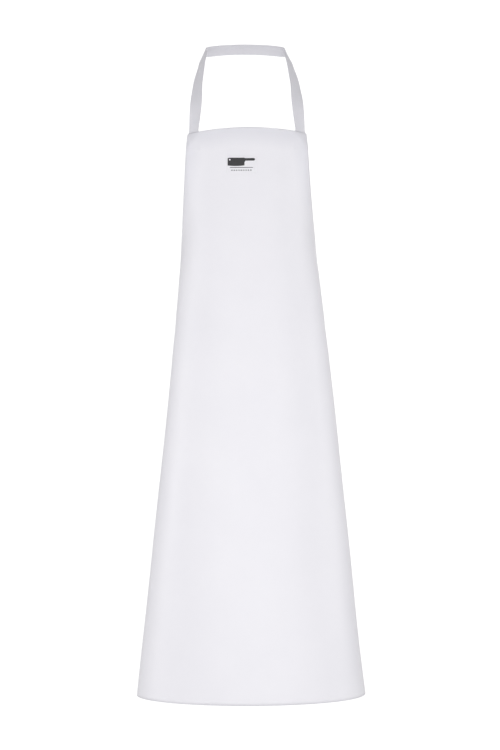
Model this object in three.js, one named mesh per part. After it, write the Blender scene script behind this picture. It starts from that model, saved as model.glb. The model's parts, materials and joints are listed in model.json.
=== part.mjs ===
// Butcher apron of coated fabric: a wrap-round panel cut in one piece with its bib, a fixed neck strap
// and two waist straps tied in a bow behind the wearer.
// Units are millimetres, +Z is up, the front of the apron faces -Y and +X is the viewer's right.
// The origin is the middle of the neck strap's inner face at the nape, where the strap is held up.
import * as THREE from 'three';
import { mergeVertices } from 'three/addons/utils/BufferGeometryUtils.js';

// ---- Panel: the flat cut ----
const LENGTH = 1200; // top edge of the bib to the hem
const BIB_WIDTH = 262; // top edge of the bib, laid flat
const BIB_CROWN = 9; // how far the top edge falls from its middle to its corners
const WAIST_WIDTH = 640; // across the two side corners, laid flat
const HEM_WIDTH = 900; // along the hem, laid flat
const WAIST_DROP = 450; // top edge down to the side corners
const ARMHOLE_POWER = 1.8; // how late the armhole curve sweeps out to the waist
const PANEL_THICK = 0.6;

// ---- Panel: as it hangs round the body ----
const BIB_SPAN = 253; // straight across, at the top edge
const HEM_SPAN = 490; // straight across, at the hem
const CHEST_DROP = 172; // where the sides begin to flare
const CHEST_SLOPE = 0.05; // side slope above that height
const FLARE_SOFTNESS = 60; // how gradually the flare begins
const WRAP_POWER = 1.3; // above 1 keeps the front flatter and the sides rounder

// ---- Straps, all cut and folded from one strip ----
const STRAP_WIDTH = 26;
const STRAP_THICK = 1.1;
const STRAP_INSET = 2; // outer edge of the neck strap from the side edge of the bib
const WELD_LENGTH = 34; // how far a strap end runs down the panel
const NECK_DROP = 188; // nape above the top edge of the bib
const NECK_REACH = 218; // nape behind the front of the bib
const NAPE_TILT = 35; // degrees that the strap leans back at the nape

// ---- Reinforcing patches ----
const PATCH_THICK = 0.6;
const PATCH_MARGIN = 6; // patch beyond the welded strap, on each free side
const PATCH_EDGE = 2.5; // patch edge back from the panel's edge
const TIE_RUN_ON = 10; // how far a waist strap runs straight on past the panel's edge

// ---- Printed film on the chest ----
const PRINT_WIDTH = 62;
const PRINT_HEIGHT = 36;
const PRINT_THICK = 0.25;
const PRINT_DROP = 60; // top edge of the bib to the top of the print
const PRINT_SHIFT = -12; // print centre from the panel's centre line

// ---- Bow at the back ----
const KNOT_WIDTH = 26;
const KNOT_DEPTH = 17;
const KNOT_HEIGHT = 28;
const KNOT_ROUND = 5;
const KNOT_REACH = 198; // knot centre behind the front of the bib
const GATHERED_WIDTH = 14; // strap width where the knot pinches it
const LOOP_LENGTH = 84;
const LOOP_FULLNESS = 10; // half the open depth of a bow loop
const LOOP_DROOP = 26; // degrees below level
const LOOP_RAISE = 6; // loop's root above the knot's middle
const TAIL_LENGTH = 280;
const TAIL_SPLAY = 26; // how far a tail's foot stands outside its top
const TAIL_LEAN = 6; // how far a tail's foot stands behind its top
const TAIL_CUT = 9; // slant of the cut end

// ---- Clearances ----
const FACE_GAP = 0.5; // between flexible layers that lie on each other
const BEND_GAP = 0.4; // from a fold line to each strap end beside it
const BEND_VEE = 2.4; // how far a strap's corners are drawn back from its fold line
const KNOT_GAP = 0.4;

// ---- Mesh fineness ----
const SECTION_STEPS = 240;
const PANEL_COLUMNS = 56;
const CORNER_ROWS = 2;
const ARMHOLE_ROWS = 10;
const SKIRT_ROWS = 6;

const SIDES = { left: -1, right: 1 };
const radians = THREE.MathUtils.degToRad;
const lerp = THREE.MathUtils.lerp;

// ---- The panel's shape ----

/** Half the flat width of the panel at a distance below the top edge. */
function halfFlat(drop) {
  if (drop < WAIST_DROP) {
    return lerp(BIB_WIDTH, WAIST_WIDTH, (Math.max(drop, 0) / WAIST_DROP) ** ARMHOLE_POWER) / 2;
  }
  return lerp(WAIST_WIDTH, HEM_WIDTH, (drop - WAIST_DROP) / (LENGTH - WAIST_DROP)) / 2;
}

/** How far the top edge has fallen at a share of the way from the centre line to the side edge. */
function topEdge(share) {
  return BIB_CROWN * share ** 2;
}

/** A length that starts near 0 and grows one for one past the chest line. */
function pastChest(drop) {
  const beyond = drop - CHEST_DROP;
  return (beyond + Math.hypot(beyond, FLARE_SOFTNESS)) / 2;
}

/** Half the straight span of the hanging panel, which flares once below the chest. */
function halfSpan(drop) {
  const flare = (HEM_SPAN - BIB_SPAN) / 2 - CHEST_SLOPE * LENGTH;
  const share = (pastChest(drop) - pastChest(0)) / (pastChest(LENGTH) - pastChest(0));
  return BIB_SPAN / 2 + CHEST_SLOPE * drop + flare * share;
}

/** Plan outline of one half of the panel at full turn `edgeTurn`, from the centre line to the edge. */
function planOutline(width, edgeTurn) {
  const step = width / SECTION_STEPS;
  const outline = [{ x: 0, y: 0, turn: 0 }];
  for (let i = 1; i <= SECTION_STEPS; i += 1) {
    const turn = (edgeTurn * (1 - Math.cos(Math.PI * (i / SECTION_STEPS) ** WRAP_POWER))) / 2;
    const before = outline[i - 1];
    const heading = (turn + before.turn) / 2;
    outline.push({ x: before.x + step * Math.cos(heading), y: before.y + step * Math.sin(heading), turn });
  }
  return outline;
}

const sections = new Map();

/** The plan outline whose greatest half width is the hanging half span at this drop. */
function sectionAt(drop) {
  if (!sections.has(drop)) {
    const width = halfFlat(drop);
    const reach = halfSpan(drop);
    let flatter = 0;
    let rounder = 1.4 * Math.PI;
    for (let i = 0; i < 40; i += 1) {
      const turn = (flatter + rounder) / 2;
      const widest = Math.max(...planOutline(width, turn).map((point) => point.x));
      if (widest > reach) flatter = turn;
      else rounder = turn;
    }
    sections.set(drop, planOutline(width, rounder));
  }
  return sections.get(drop);
}

/**
 * A place on the hanging panel: `along` is the flat distance from the centre line (right is positive),
 * `drop` the distance below the top edge and `depth` the distance behind the front face.
 */
function onPanel(along, drop, depth) {
  const outline = sectionAt(drop);
  const side = Math.sign(along) || 1;
  const place = Math.min((Math.abs(along) / halfFlat(drop)) * SECTION_STEPS, SECTION_STEPS);
  const index = Math.min(Math.floor(place), SECTION_STEPS - 1);
  const share = place - index;
  const [a, b] = [outline[index], outline[index + 1]];
  const turn = lerp(a.turn, b.turn, share);
  const x = lerp(a.x, b.x, share) - depth * Math.sin(turn);
  const y = lerp(a.y, b.y, share) + depth * Math.cos(turn);
  return {
    point: new THREE.Vector3(side * x, y, -drop),
    outward: new THREE.Vector3(side * Math.cos(turn), Math.sin(turn), 0),
  };
}

/** The direction straight up the panel's face at a place on it. */
function upPanel(along, drop) {
  const reach = STRAP_WIDTH / 2;
  const lower = onPanel(along, drop + reach, 0).point;
  return onPanel(along, drop - reach, 0).point.sub(lower).normalize();
}

// ---- Solids from grids and strips ----

/** A closed solid from points and quads, with its faces turned outwards. */
function closedSolid(points, quads) {
  const indices = quads.flatMap(([a, b, c, d]) => [a, b, c, a, c, d]);
  let volume = 0;
  for (let i = 0; i < indices.length; i += 3) {
    const [a, b, c] = [0, 1, 2].map((k) => points[indices[i + k]]);
    volume += a.dot(b.clone().cross(c));
  }
  if (volume < 0) {
    for (let i = 0; i < indices.length; i += 3) [indices[i], indices[i + 1]] = [indices[i + 1], indices[i]];
  }
  const geometry = new THREE.BufferGeometry();
  geometry.setAttribute('position', new THREE.Float32BufferAttribute(points.flatMap((p) => p.toArray()), 3));
  geometry.setIndex(indices);
  geometry.computeVertexNormals();
  return geometry;
}

/** A thin solid over a grid: `pointAt(row, column, face)` gives face 0 and face 1 of the sheet. */
function slab(rows, columns, pointAt) {
  const points = [];
  const at = (row, column, face) => (row * (columns + 1) + column) * 2 + face;
  for (let row = 0; row <= rows; row += 1) {
    for (let column = 0; column <= columns; column += 1) {
      points.push(pointAt(row, column, 0), pointAt(row, column, 1));
    }
  }
  const quads = [];
  for (let row = 0; row < rows; row += 1) {
    for (let column = 0; column < columns; column += 1) {
      const corners = [[row, column], [row + 1, column], [row + 1, column + 1], [row, column + 1]];
      quads.push(corners.map(([r, c]) => at(r, c, 0)));
      quads.push(corners.reverse().map(([r, c]) => at(r, c, 1)));
    }
  }
  for (let row = 0; row < rows; row += 1) {
    quads.push([at(row, 0, 0), at(row, 0, 1), at(row + 1, 0, 1), at(row + 1, 0, 0)]);
    quads.push([at(row + 1, columns, 0), at(row + 1, columns, 1), at(row, columns, 1), at(row, columns, 0)]);
  }
  for (let column = 0; column < columns; column += 1) {
    quads.push([at(0, column + 1, 0), at(0, column + 1, 1), at(0, column, 1), at(0, column, 0)]);
    quads.push([at(rows, column, 0), at(rows, column, 1), at(rows, column + 1, 1), at(rows, column + 1, 0)]);
  }
  return closedSolid(points, quads);
}

/** The first `count` of the even steps that lead from one value to another. */
function evenly(from, to, count) {
  return Array.from({ length: count }, (_, i) => lerp(from, to, i / count));
}

/** A sheet laid on the panel, as a closed solid: `dropAt` and `alongAt` place its rows and columns. */
function layer({ alongAt, dropAt, rows, columns, depth, thick }) {
  return slab(rows, columns, (row, column, face) => {
    const drop = dropAt(row / rows, column / columns);
    return onPanel(alongAt(column / columns, drop), drop, depth + face * thick).point;
  });
}

/**
 * A flat strap along a smooth route. Each station has `centre`, `across` (a direction over the width) and
 * an optional `width`. `startVee` and `endVee` draw the corners of that end back along the strap.
 */
function strap(stations, { steps, thick = STRAP_THICK, startVee = 0, endVee = 0, endSlant = 0 }) {
  const route = new THREE.CatmullRomCurve3(stations.map((s) => s.centre), false, 'centripetal');
  const last = stations.length - 1;
  const rings = [];
  for (let i = 0; i <= steps; i += 1) {
    const t = i / steps;
    const index = Math.min(Math.floor(t * last), last - 1);
    const share = t * last - index;
    const eased = share * share * (3 - 2 * share);
    const [a, b] = [stations[index], stations[index + 1]];
    const centre = route.getPoint(t);
    const ahead = route.getTangent(t);
    const across = a.across.clone().lerp(b.across, eased);
    across.addScaledVector(ahead, -across.dot(ahead)).normalize();
    const width = lerp(a.width ?? STRAP_WIDTH, b.width ?? STRAP_WIDTH, eased);
    rings.push({ centre, ahead, across, facing: ahead.clone().cross(across), width });
  }
  return slab(steps, 2, (row, column, face) => {
    const ring = rings[row];
    const over = column - 1;
    const point = ring.centre.clone().addScaledVector(ring.across, (over * ring.width) / 2);
    if (row === 0) point.addScaledVector(ring.ahead, startVee * Math.abs(over));
    if (row === steps) point.addScaledVector(ring.ahead, endSlant * over - endVee * Math.abs(over));
    return point.addScaledVector(ring.facing, (face - 0.5) * thick);
  });
}

/** The same stations on the other side of the wearer. */
function mirrored(stations) {
  const flip = (v) => new THREE.Vector3(-v.x, v.y, v.z);
  return stations.map((s) => ({ ...s, centre: flip(s.centre), across: flip(s.across) }));
}

const station = (x, y, z, across, width) => ({
  centre: new THREE.Vector3(x, y, z),
  across: new THREE.Vector3(...across),
  width,
});

// ---- Layers on the inside of the panel, from the panel's front face ----
const PATCH_DEPTH = PANEL_THICK + FACE_GAP;
const STRAP_DEPTH = PATCH_DEPTH + PATCH_THICK + FACE_GAP;
const STRAP_MIDDLE = STRAP_DEPTH + STRAP_THICK / 2;
const NECK_ALONG = BIB_WIDTH / 2 - STRAP_INSET - STRAP_WIDTH / 2; // neck strap centre, laid flat
const NECK_SHARE = (2 * NECK_ALONG) / BIB_WIDTH;
const CORNER_PATCH_FOOT = topEdge(NECK_SHARE) + WELD_LENGTH + PATCH_MARGIN;
const WAIST_PATCH_HEIGHT = STRAP_WIDTH + 2 * PATCH_MARGIN;
const KNOT_DROP = WAIST_DROP + PATCH_EDGE + WAIST_PATCH_HEIGHT / 2; // knot centre, level with the waist straps

// ---- Pieces ----

/** The panel, with grid rows where the patches begin and end so that they lie parallel to it. */
function apronPanel() {
  const waistPatchFoot = KNOT_DROP + WAIST_PATCH_HEIGHT / 2;
  const drops = [
    ...evenly(0, CORNER_PATCH_FOOT, CORNER_ROWS),
    ...evenly(CORNER_PATCH_FOOT, WAIST_DROP, ARMHOLE_ROWS),
    WAIST_DROP,
    ...evenly(waistPatchFoot, LENGTH, SKIRT_ROWS),
    LENGTH,
  ];
  const rows = drops.length - 1;
  const dropAt = (share, across) => {
    const row = Math.round(share * rows);
    const crown = topEdge(2 * across - 1) * Math.max(1 - row / CORNER_ROWS, 0);
    return drops[row] + crown;
  };
  const alongAt = (share, drop) => (2 * share - 1) * halfFlat(drop);
  return layer({ alongAt, dropAt, rows, columns: PANEL_COLUMNS, depth: 0, thick: PANEL_THICK });
}

/** The free neck strap, from one corner of the bib over the nape to the other. */
function neckStrap() {
  const anchor = onPanel(NECK_ALONG, topEdge(NECK_SHARE), STRAP_MIDDLE);
  const lean = radians(NAPE_TILT);
  const nape = new THREE.Vector3(0, NECK_REACH, NECK_DROP)
    .addScaledVector(new THREE.Vector3(0, Math.cos(lean), Math.sin(lean)), STRAP_THICK / 2);
  // Shares of the way out from the centre, back from the bib and up to the nape, with the width's direction.
  const route = [
    [0.955, 0.08, 0.29, [0.88, 0.45, -0.1]],
    [0.888, 0.266, 0.57, [0.66, 0.6, -0.45]],
    [0.821, 0.521, 0.8, [0.45, 0.65, -0.62]],
    [0.732, 0.771, 0.938, [0.2, 0.66, -0.72]],
    [0.536, 0.931, 0.979, [0.08, 0.6, -0.8]],
  ].map(([out, back, up, across]) => station(
    anchor.point.x * out,
    lerp(anchor.point.y, nape.y, back),
    lerp(anchor.point.z, nape.z, up),
    across,
  ));
  const start = anchor.point.clone().add(new THREE.Vector3(0, 0, BEND_GAP));
  const right = [{ centre: start, across: anchor.outward }, ...route];
  const top = { centre: nape, across: new THREE.Vector3(0, Math.sin(lean), -Math.cos(lean)) };
  const stations = [...right, top, ...mirrored(right).reverse()];
  return strap(stations, { steps: 72, startVee: BEND_VEE, endVee: BEND_VEE });
}

/** The end of the neck strap that is welded down the inside of a bib corner. */
function neckStrapEnd(side) {
  return slab(CORNER_ROWS, 4, (row, column, face) => {
    const over = column / 2 - 1;
    const drop = lerp(BEND_GAP + BEND_VEE * Math.abs(over), WELD_LENGTH, row / CORNER_ROWS);
    const along = side * (NECK_ALONG + (over * STRAP_WIDTH) / 2);
    return onPanel(along, topEdge(NECK_SHARE) + drop, STRAP_DEPTH + face * STRAP_THICK).point;
  });
}

/** A patch behind the neck strap's end, cut parallel to the edges of the bib corner. */
function cornerPatch(side) {
  const inner = NECK_ALONG - STRAP_WIDTH / 2 - PATCH_MARGIN;
  return layer({
    alongAt: (share, drop) => side * lerp(inner, halfFlat(drop) - PATCH_EDGE, share),
    dropAt: (share, across) => {
      const top = PATCH_EDGE + topEdge(lerp((2 * inner) / BIB_WIDTH, 1, across));
      return lerp(top, CORNER_PATCH_FOOT, share);
    },
    rows: CORNER_ROWS,
    columns: 10,
    depth: PATCH_DEPTH,
    thick: PATCH_THICK,
  });
}

/** A patch behind the waist strap's end, at the side corner of the panel. */
function waistPatch(side) {
  return layer({
    alongAt: (share, drop) => side * (halfFlat(drop) - lerp(WELD_LENGTH + PATCH_MARGIN, PATCH_EDGE, share)),
    dropAt: (share) => KNOT_DROP + (share - 0.5) * WAIST_PATCH_HEIGHT,
    rows: 2,
    columns: 10,
    depth: PATCH_DEPTH,
    thick: PATCH_THICK,
  });
}

/** A waist strap, from its weld on the panel's side corner to the knot. */
function waistTie(side) {
  const up = [0, 0, 1];
  const welded = [...evenly(1, 0, 5), 0].map((share) => {
    const along = halfFlat(KNOT_DROP) - share * WELD_LENGTH;
    return { centre: onPanel(along, KNOT_DROP, STRAP_MIDDLE).point, across: upPanel(along, KNOT_DROP) };
  });
  const { point: edge, outward } = onPanel(halfFlat(KNOT_DROP), KNOT_DROP, STRAP_MIDDLE);
  const runOn = { centre: edge.clone().addScaledVector(outward, TIE_RUN_ON), across: welded.at(-1).across };
  const knotSide = KNOT_WIDTH / 2 + KNOT_GAP;
  const knotFront = KNOT_REACH - KNOT_DEPTH / 2;
  const stations = [
    ...welded,
    runOn,
    station(lerp(knotSide, edge.x, 0.45), lerp(knotFront, edge.y, 0.35), edge.z, up),
    station(knotSide, knotFront + STRAP_THICK + 1.5, edge.z, up, GATHERED_WIDTH),
  ];
  return strap(side > 0 ? stations : mirrored(stations), { steps: 30 });
}

function bowKnot() {
  const [w, h, r] = [KNOT_WIDTH / 2, KNOT_HEIGHT / 2, KNOT_ROUND];
  const shape = new THREE.Shape();
  shape.moveTo(-w + r, -h);
  shape.lineTo(w - r, -h);
  shape.absarc(w - r, -h + r, r, -Math.PI / 2, 0, false);
  shape.absarc(w - r, h - r, r, 0, Math.PI / 2, false);
  shape.absarc(-w + r, h - r, r, Math.PI / 2, Math.PI, false);
  shape.absarc(-w + r, -h + r, r, Math.PI, 1.5 * Math.PI, false);
  const bevel = 3;
  const geometry = new THREE.ExtrudeGeometry(shape, {
    depth: KNOT_DEPTH - 2 * bevel,
    bevelThickness: bevel,
    bevelSize: bevel,
    bevelOffset: -bevel,
    bevelSegments: 2,
    curveSegments: 4,
  });
  geometry.translate(0, 0, -KNOT_DEPTH / 2 + bevel);
  geometry.rotateX(Math.PI / 2);
  geometry.translate(0, KNOT_REACH, -KNOT_DROP);
  geometry.deleteAttribute('normal');
  geometry.deleteAttribute('uv');
  return mergeVertices(geometry);
}

/** One loop of the bow: out from the knot, round and back, with the strap's width upright. */
function bowLoop(side) {
  const droop = radians(LOOP_DROOP);
  const outward = new THREE.Vector3(Math.cos(droop), 0, -Math.sin(droop));
  const upright = new THREE.Vector3(Math.sin(droop), 0, Math.cos(droop));
  const start = (KNOT_WIDTH / 2 + KNOT_GAP + (GATHERED_WIDTH / 2) * Math.sin(droop)) / Math.cos(droop);
  // Shares of the loop's length outwards and of its fullness in depth, and whether the strap is gathered.
  const route = [
    [0, -0.2, true],
    [0.3, -0.75, false],
    [0.7, -1, false],
    [0.95, -0.65, false],
    [1, 0, false],
    [0.95, 0.65, false],
    [0.7, 1, false],
    [0.3, 0.75, false],
    [0, 0.3, true],
  ];
  const middle = new THREE.Vector3(0, KNOT_REACH + 1.5, LOOP_RAISE - KNOT_DROP);
  const stations = route.map(([out, deep, gathered]) => ({
    centre: middle.clone()
      .addScaledVector(outward, lerp(start, LOOP_LENGTH, out))
      .add(new THREE.Vector3(0, deep * LOOP_FULLNESS, 0)),
    across: upright.clone(),
    width: gathered ? GATHERED_WIDTH : STRAP_WIDTH,
  }));
  return strap(side > 0 ? stations : mirrored(stations), { steps: 40 });
}

/** A free end of a waist strap, hanging from a fold line just under the knot. */
function tieTail(side) {
  const top = -KNOT_DROP - KNOT_HEIGHT / 2 - KNOT_GAP - BEND_GAP;
  const narrow = GATHERED_WIDTH * 0.8;
  const begin = narrow / 2 + 1.2;
  const across = [1, 0, 0];
  const out = (share) => begin + (STRAP_WIDTH - narrow) / 2 + TAIL_SPLAY * share;
  const stations = [
    station(begin, KNOT_REACH, top, across, narrow),
    station(begin, KNOT_REACH, top - TAIL_LENGTH * 0.03, across, narrow),
    station(out(0.16), KNOT_REACH, top - TAIL_LENGTH * 0.16, across),
    station(out(0.45), KNOT_REACH + TAIL_LEAN * 0.4, top - TAIL_LENGTH * 0.45, across),
    station(out(0.75), KNOT_REACH + TAIL_LEAN * 0.8, top - TAIL_LENGTH * 0.75, across),
    station(out(1), KNOT_REACH + TAIL_LEAN, top - TAIL_LENGTH, across),
  ];
  return strap(side > 0 ? stations : mirrored(stations), { steps: 24, endSlant: TAIL_CUT / 2 });
}

/** The thin printed film on the front of the bib. */
function chestPrint() {
  return layer({
    alongAt: (share) => PRINT_SHIFT + (share - 0.5) * PRINT_WIDTH,
    dropAt: (share) => PRINT_DROP + share * PRINT_HEIGHT,
    rows: 3,
    columns: 10,
    depth: -FACE_GAP - PRINT_THICK,
    thick: PRINT_THICK,
  });
}

// ---- Finishes ----
const finish = (color, roughness) => new THREE.MeshStandardMaterial({ color, roughness, metalness: 0 });
const panelFinish = finish('#f0eff4', 0.5);
const strapFinish = finish('#d9d8de', 0.55);
const patchFinish = finish('#e4e3e8', 0.55);
const printFinish = finish('#f6f6f8', 0.35);

// ---- Assembly: drawn from the top of the bib, then set so that the nape is at the origin ----
const apron = new THREE.Group();
apron.position.set(0, -NECK_REACH, -NECK_DROP);

function add(name, geometry, material) {
  const mesh = new THREE.Mesh(geometry, material);
  mesh.name = name;
  apron.add(mesh);
}

add('apron_panel', apronPanel(), panelFinish);
add('chest_print', chestPrint(), printFinish);
add('neck_strap', neckStrap(), strapFinish);
add('bow_knot', bowKnot(), strapFinish);
for (const [name, side] of Object.entries(SIDES)) {
  add(`corner_patch_${name}`, cornerPatch(side), patchFinish);
  add(`neck_strap_end_${name}`, neckStrapEnd(side), strapFinish);
  add(`waist_patch_${name}`, waistPatch(side), patchFinish);
  add(`waist_tie_${name}`, waistTie(side), strapFinish);
  add(`bow_loop_${name}`, bowLoop(side), strapFinish);
  add(`tie_tail_${name}`, tieTail(side), strapFinish);
}

export default apron;
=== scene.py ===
"""The cloth, straps, bow and chest print of a coated butcher apron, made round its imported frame.

All sizes are in metres. The front of the apron faces -Y, +X is the viewer's right and +Z is up. The
origin is the middle of the neck strap's inner face at the nape.
"""

from __future__ import annotations

import json
import logging
import math
from dataclasses import dataclass, field, replace
from enum import Enum
from typing import Callable, Iterable, Sequence

import bmesh
import bpy
import numpy as np
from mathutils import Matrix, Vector

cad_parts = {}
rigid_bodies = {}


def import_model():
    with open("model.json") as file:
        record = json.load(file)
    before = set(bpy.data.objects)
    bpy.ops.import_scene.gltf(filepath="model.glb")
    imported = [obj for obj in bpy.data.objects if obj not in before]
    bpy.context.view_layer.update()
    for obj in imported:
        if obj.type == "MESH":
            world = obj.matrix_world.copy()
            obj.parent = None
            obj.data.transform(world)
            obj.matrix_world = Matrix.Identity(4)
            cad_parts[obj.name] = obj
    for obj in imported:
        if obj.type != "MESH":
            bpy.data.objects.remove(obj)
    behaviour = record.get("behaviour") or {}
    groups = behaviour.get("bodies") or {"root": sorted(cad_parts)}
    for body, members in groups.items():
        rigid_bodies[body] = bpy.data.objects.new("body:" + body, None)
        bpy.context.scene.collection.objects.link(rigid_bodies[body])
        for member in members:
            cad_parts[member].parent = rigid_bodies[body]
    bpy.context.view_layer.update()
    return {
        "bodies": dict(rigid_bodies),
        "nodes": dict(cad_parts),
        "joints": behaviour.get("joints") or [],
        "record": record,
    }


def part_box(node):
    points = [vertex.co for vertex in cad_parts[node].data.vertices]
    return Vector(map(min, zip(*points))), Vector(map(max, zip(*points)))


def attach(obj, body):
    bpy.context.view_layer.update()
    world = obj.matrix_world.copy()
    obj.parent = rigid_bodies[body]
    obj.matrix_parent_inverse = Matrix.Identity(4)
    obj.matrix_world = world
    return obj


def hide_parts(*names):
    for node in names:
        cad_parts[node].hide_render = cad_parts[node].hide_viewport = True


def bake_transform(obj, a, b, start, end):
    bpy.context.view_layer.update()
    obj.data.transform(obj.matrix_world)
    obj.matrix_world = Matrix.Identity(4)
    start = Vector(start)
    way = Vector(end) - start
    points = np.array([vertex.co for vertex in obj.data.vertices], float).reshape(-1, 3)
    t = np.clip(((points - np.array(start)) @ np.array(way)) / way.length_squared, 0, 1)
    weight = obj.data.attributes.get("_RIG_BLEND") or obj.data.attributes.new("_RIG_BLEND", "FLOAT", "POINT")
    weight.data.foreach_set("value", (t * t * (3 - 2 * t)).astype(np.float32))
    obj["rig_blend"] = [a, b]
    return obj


LOG = logging.getLogger("apron")
TABLE_STEPS = 600  # rows of the solved section table, one every 2 mm of the drop
SECTION_STEPS = 240  # steps from the centre line to the side edge in each section
MOST_TURN = 1.4 * math.pi  # the most that a side edge can turn away from the front
HALVINGS = 40  # steps in which the turn of each section is found


class Side(Enum):
    """The two sides of the apron, as seen from the front."""

    LEFT = -1
    RIGHT = 1

    @property
    def label(self) -> str:
        """The side's name, as piece names use it."""
        return self.name.lower()


# ---- Small maths -------------------------------------------------------------------------------


def smooth(t: np.ndarray | float) -> np.ndarray:
    """Ease from 0 to 1 with no slope at either end."""
    t = np.clip(t, 0.0, 1.0)
    return t * t * (3.0 - 2.0 * t)


def unit(v: np.ndarray) -> np.ndarray:
    """Scale vectors in the last axis to length 1."""
    return v / np.maximum(np.linalg.norm(v, axis=-1, keepdims=True), 1e-12)


def soft_positive(q: np.ndarray, radius: float) -> np.ndarray:
    """A value that is 0 for negative q and q for positive q, with a rounded bend of the given radius."""
    return np.where(q < -4 * radius, 0.0, (q + np.sqrt(q * q + radius * radius)) / 2)


def ramp(value: np.ndarray | float, start: float, reach: float) -> np.ndarray:
    """Ease from 0 at a start to 1 at a reach beyond it."""
    return smooth((value - start) / reach)


# ---- Meshes ------------------------------------------------------------------------------------


def linked(name: str, data: bpy.types.ID) -> bpy.types.Object:
    """Put some data into the scene as an object at the origin."""
    piece = bpy.data.objects.new(name, data)
    bpy.context.scene.collection.objects.link(piece)
    return piece


def new_object(name: str, points: np.ndarray, faces: Sequence[Sequence[int]]) -> bpy.types.Object:
    """Make a smooth-shaded mesh object at the origin.

    Args:
        name: the piece's name.
        points: vertex places, one row each.
        faces: vertex numbers of each face.

    Returns:
        The new object, linked to the scene.
    """
    mesh = bpy.data.meshes.new(name)
    mesh.from_pydata(np.asarray(points, float).reshape(-1, 3).tolist(), [], [list(f) for f in faces])
    mesh.validate()
    mesh.shade_smooth()
    return linked(name, mesh)


def set_attribute(piece: bpy.types.Object, name: str, values: np.ndarray) -> None:
    """Store a number or a direction for each vertex.

    Args:
        piece: the mesh object.
        name: what a material or a geometry tree reads it by.
        values: one number or one row of three for each vertex.
    """
    values = np.asarray(values, np.float32)
    kind, key = ("FLOAT_VECTOR", "vector") if values.ndim == 2 else ("FLOAT", "value")
    attribute = piece.data.attributes.new(name, kind, "POINT")
    attribute.data.foreach_set(key, values.ravel())


def dressed(
    piece: bpy.types.Object, uv: np.ndarray, from_edge: np.ndarray, *finishes: bpy.types.Material
) -> bpy.types.Object:
    """Finish a closed mesh and turn its faces outwards.

    Args:
        piece: the mesh object.
        uv: place of each vertex on the flat cloth, in metres.
        from_edge: its distance from the nearest cut or folded edge.
        finishes: the piece's materials.

    Returns:
        The same object.
    """
    layer = piece.data.uv_layers.new(name="cloth_metres")
    corners = np.empty(len(piece.data.loops), int)
    piece.data.loops.foreach_get("vertex_index", corners)
    layer.data.foreach_set("uv", np.asarray(uv, np.float32)[corners].ravel())
    set_attribute(piece, "edge_metres", np.maximum(from_edge, 0))
    for finish in finishes:
        piece.data.materials.append(finish)
    bm = bmesh.new()
    bm.from_mesh(piece.data)
    bmesh.ops.recalc_face_normals(bm, faces=bm.faces)
    bm.to_mesh(piece.data)
    bm.free()
    return piece


def grid_faces(rows: int, columns: int, start: int = 0) -> list[tuple[int, int, int, int]]:
    """Quads of a grid.

    Args:
        rows: how many rows of cells it has.
        columns: how many cells each row has.
        start: number of its first vertex.

    Returns:
        The vertex numbers of each quad.
    """
    wide = columns + 1
    corners = [start + r * wide + c for r in range(rows) for c in range(columns)]
    return [(k, k + 1, k + wide + 1, k + wide) for k in corners]


def rounded_outline(half_wide: float, half_high: float, radius: float, spacing: float = 0.0012) -> np.ndarray:
    """Outline of a rectangle with round corners, about its middle.

    Args:
        half_wide: half its width.
        half_high: half its height.
        radius: radius of its corners.
        spacing: distance between points, the same along all of it.

    Returns:
        The outline's points, one row each.
    """
    corner_steps = 8
    corners = []
    for corner, (sx, sy) in enumerate(((1, 1), (-1, 1), (-1, -1), (1, -1))):
        turns = np.linspace(0, math.pi / 2, corner_steps + 1) + corner * math.pi / 2
        centre = np.array([sx * (half_wide - radius), sy * (half_high - radius)])
        corners.append(centre + radius * np.stack([np.cos(turns), np.sin(turns)], axis=1))
    loop = np.vstack([*corners, corners[0][:1]])
    distance = np.concatenate([[0], np.cumsum(np.linalg.norm(np.diff(loop, axis=0), axis=1))])
    even = np.linspace(0, distance[-1], int(distance[-1] / spacing) + 1)[:-1]
    return np.stack([np.interp(even, distance, loop[:, k]) for k in (0, 1)], axis=1)


def ring_faces(first: int, second: int, around: int) -> list[tuple[int, ...]]:
    """Quads between two rings, whose first vertices are given."""
    after = [(k + 1) % around for k in range(around)]
    return [(first + k, first + n, second + n, second + k) for k, n in enumerate(after)]


def pillow_faces(rings: int, around: int) -> list[tuple[int, ...]]:
    """Faces of two nested sets of rings, back and front, joined round their outer rim.

    Args:
        rings: rings in each set, from the middle outwards.
        around: points in each ring.

    Returns:
        The vertex numbers of each face.
    """
    faces: list[tuple[int, ...]] = []
    count = rings * around
    for start in (0, count):
        for ring in range(rings - 1):
            faces += ring_faces(start + ring * around, start + (ring + 1) * around, around)
        faces.append(tuple(start + k for k in range(around)))
    last = count - around
    return faces + ring_faces(last, count + last, around)


def tube_faces(rings: int, around: int) -> list[tuple[int, ...]]:
    """Faces of a closed strip of rings, with a flat face over each end.

    Args:
        rings: how many rings it has.
        around: points in each ring.

    Returns:
        The vertex numbers of each face.
    """
    faces: list[tuple[int, ...]] = []
    for ring in range(rings - 1):
        faces += ring_faces(ring * around, (ring + 1) * around, around)
    faces.append(tuple(reversed(range(around))))
    faces.append(tuple((rings - 1) * around + k for k in range(around)))
    return faces


# ---- The hanging panel -------------------------------------------------------------------------


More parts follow.
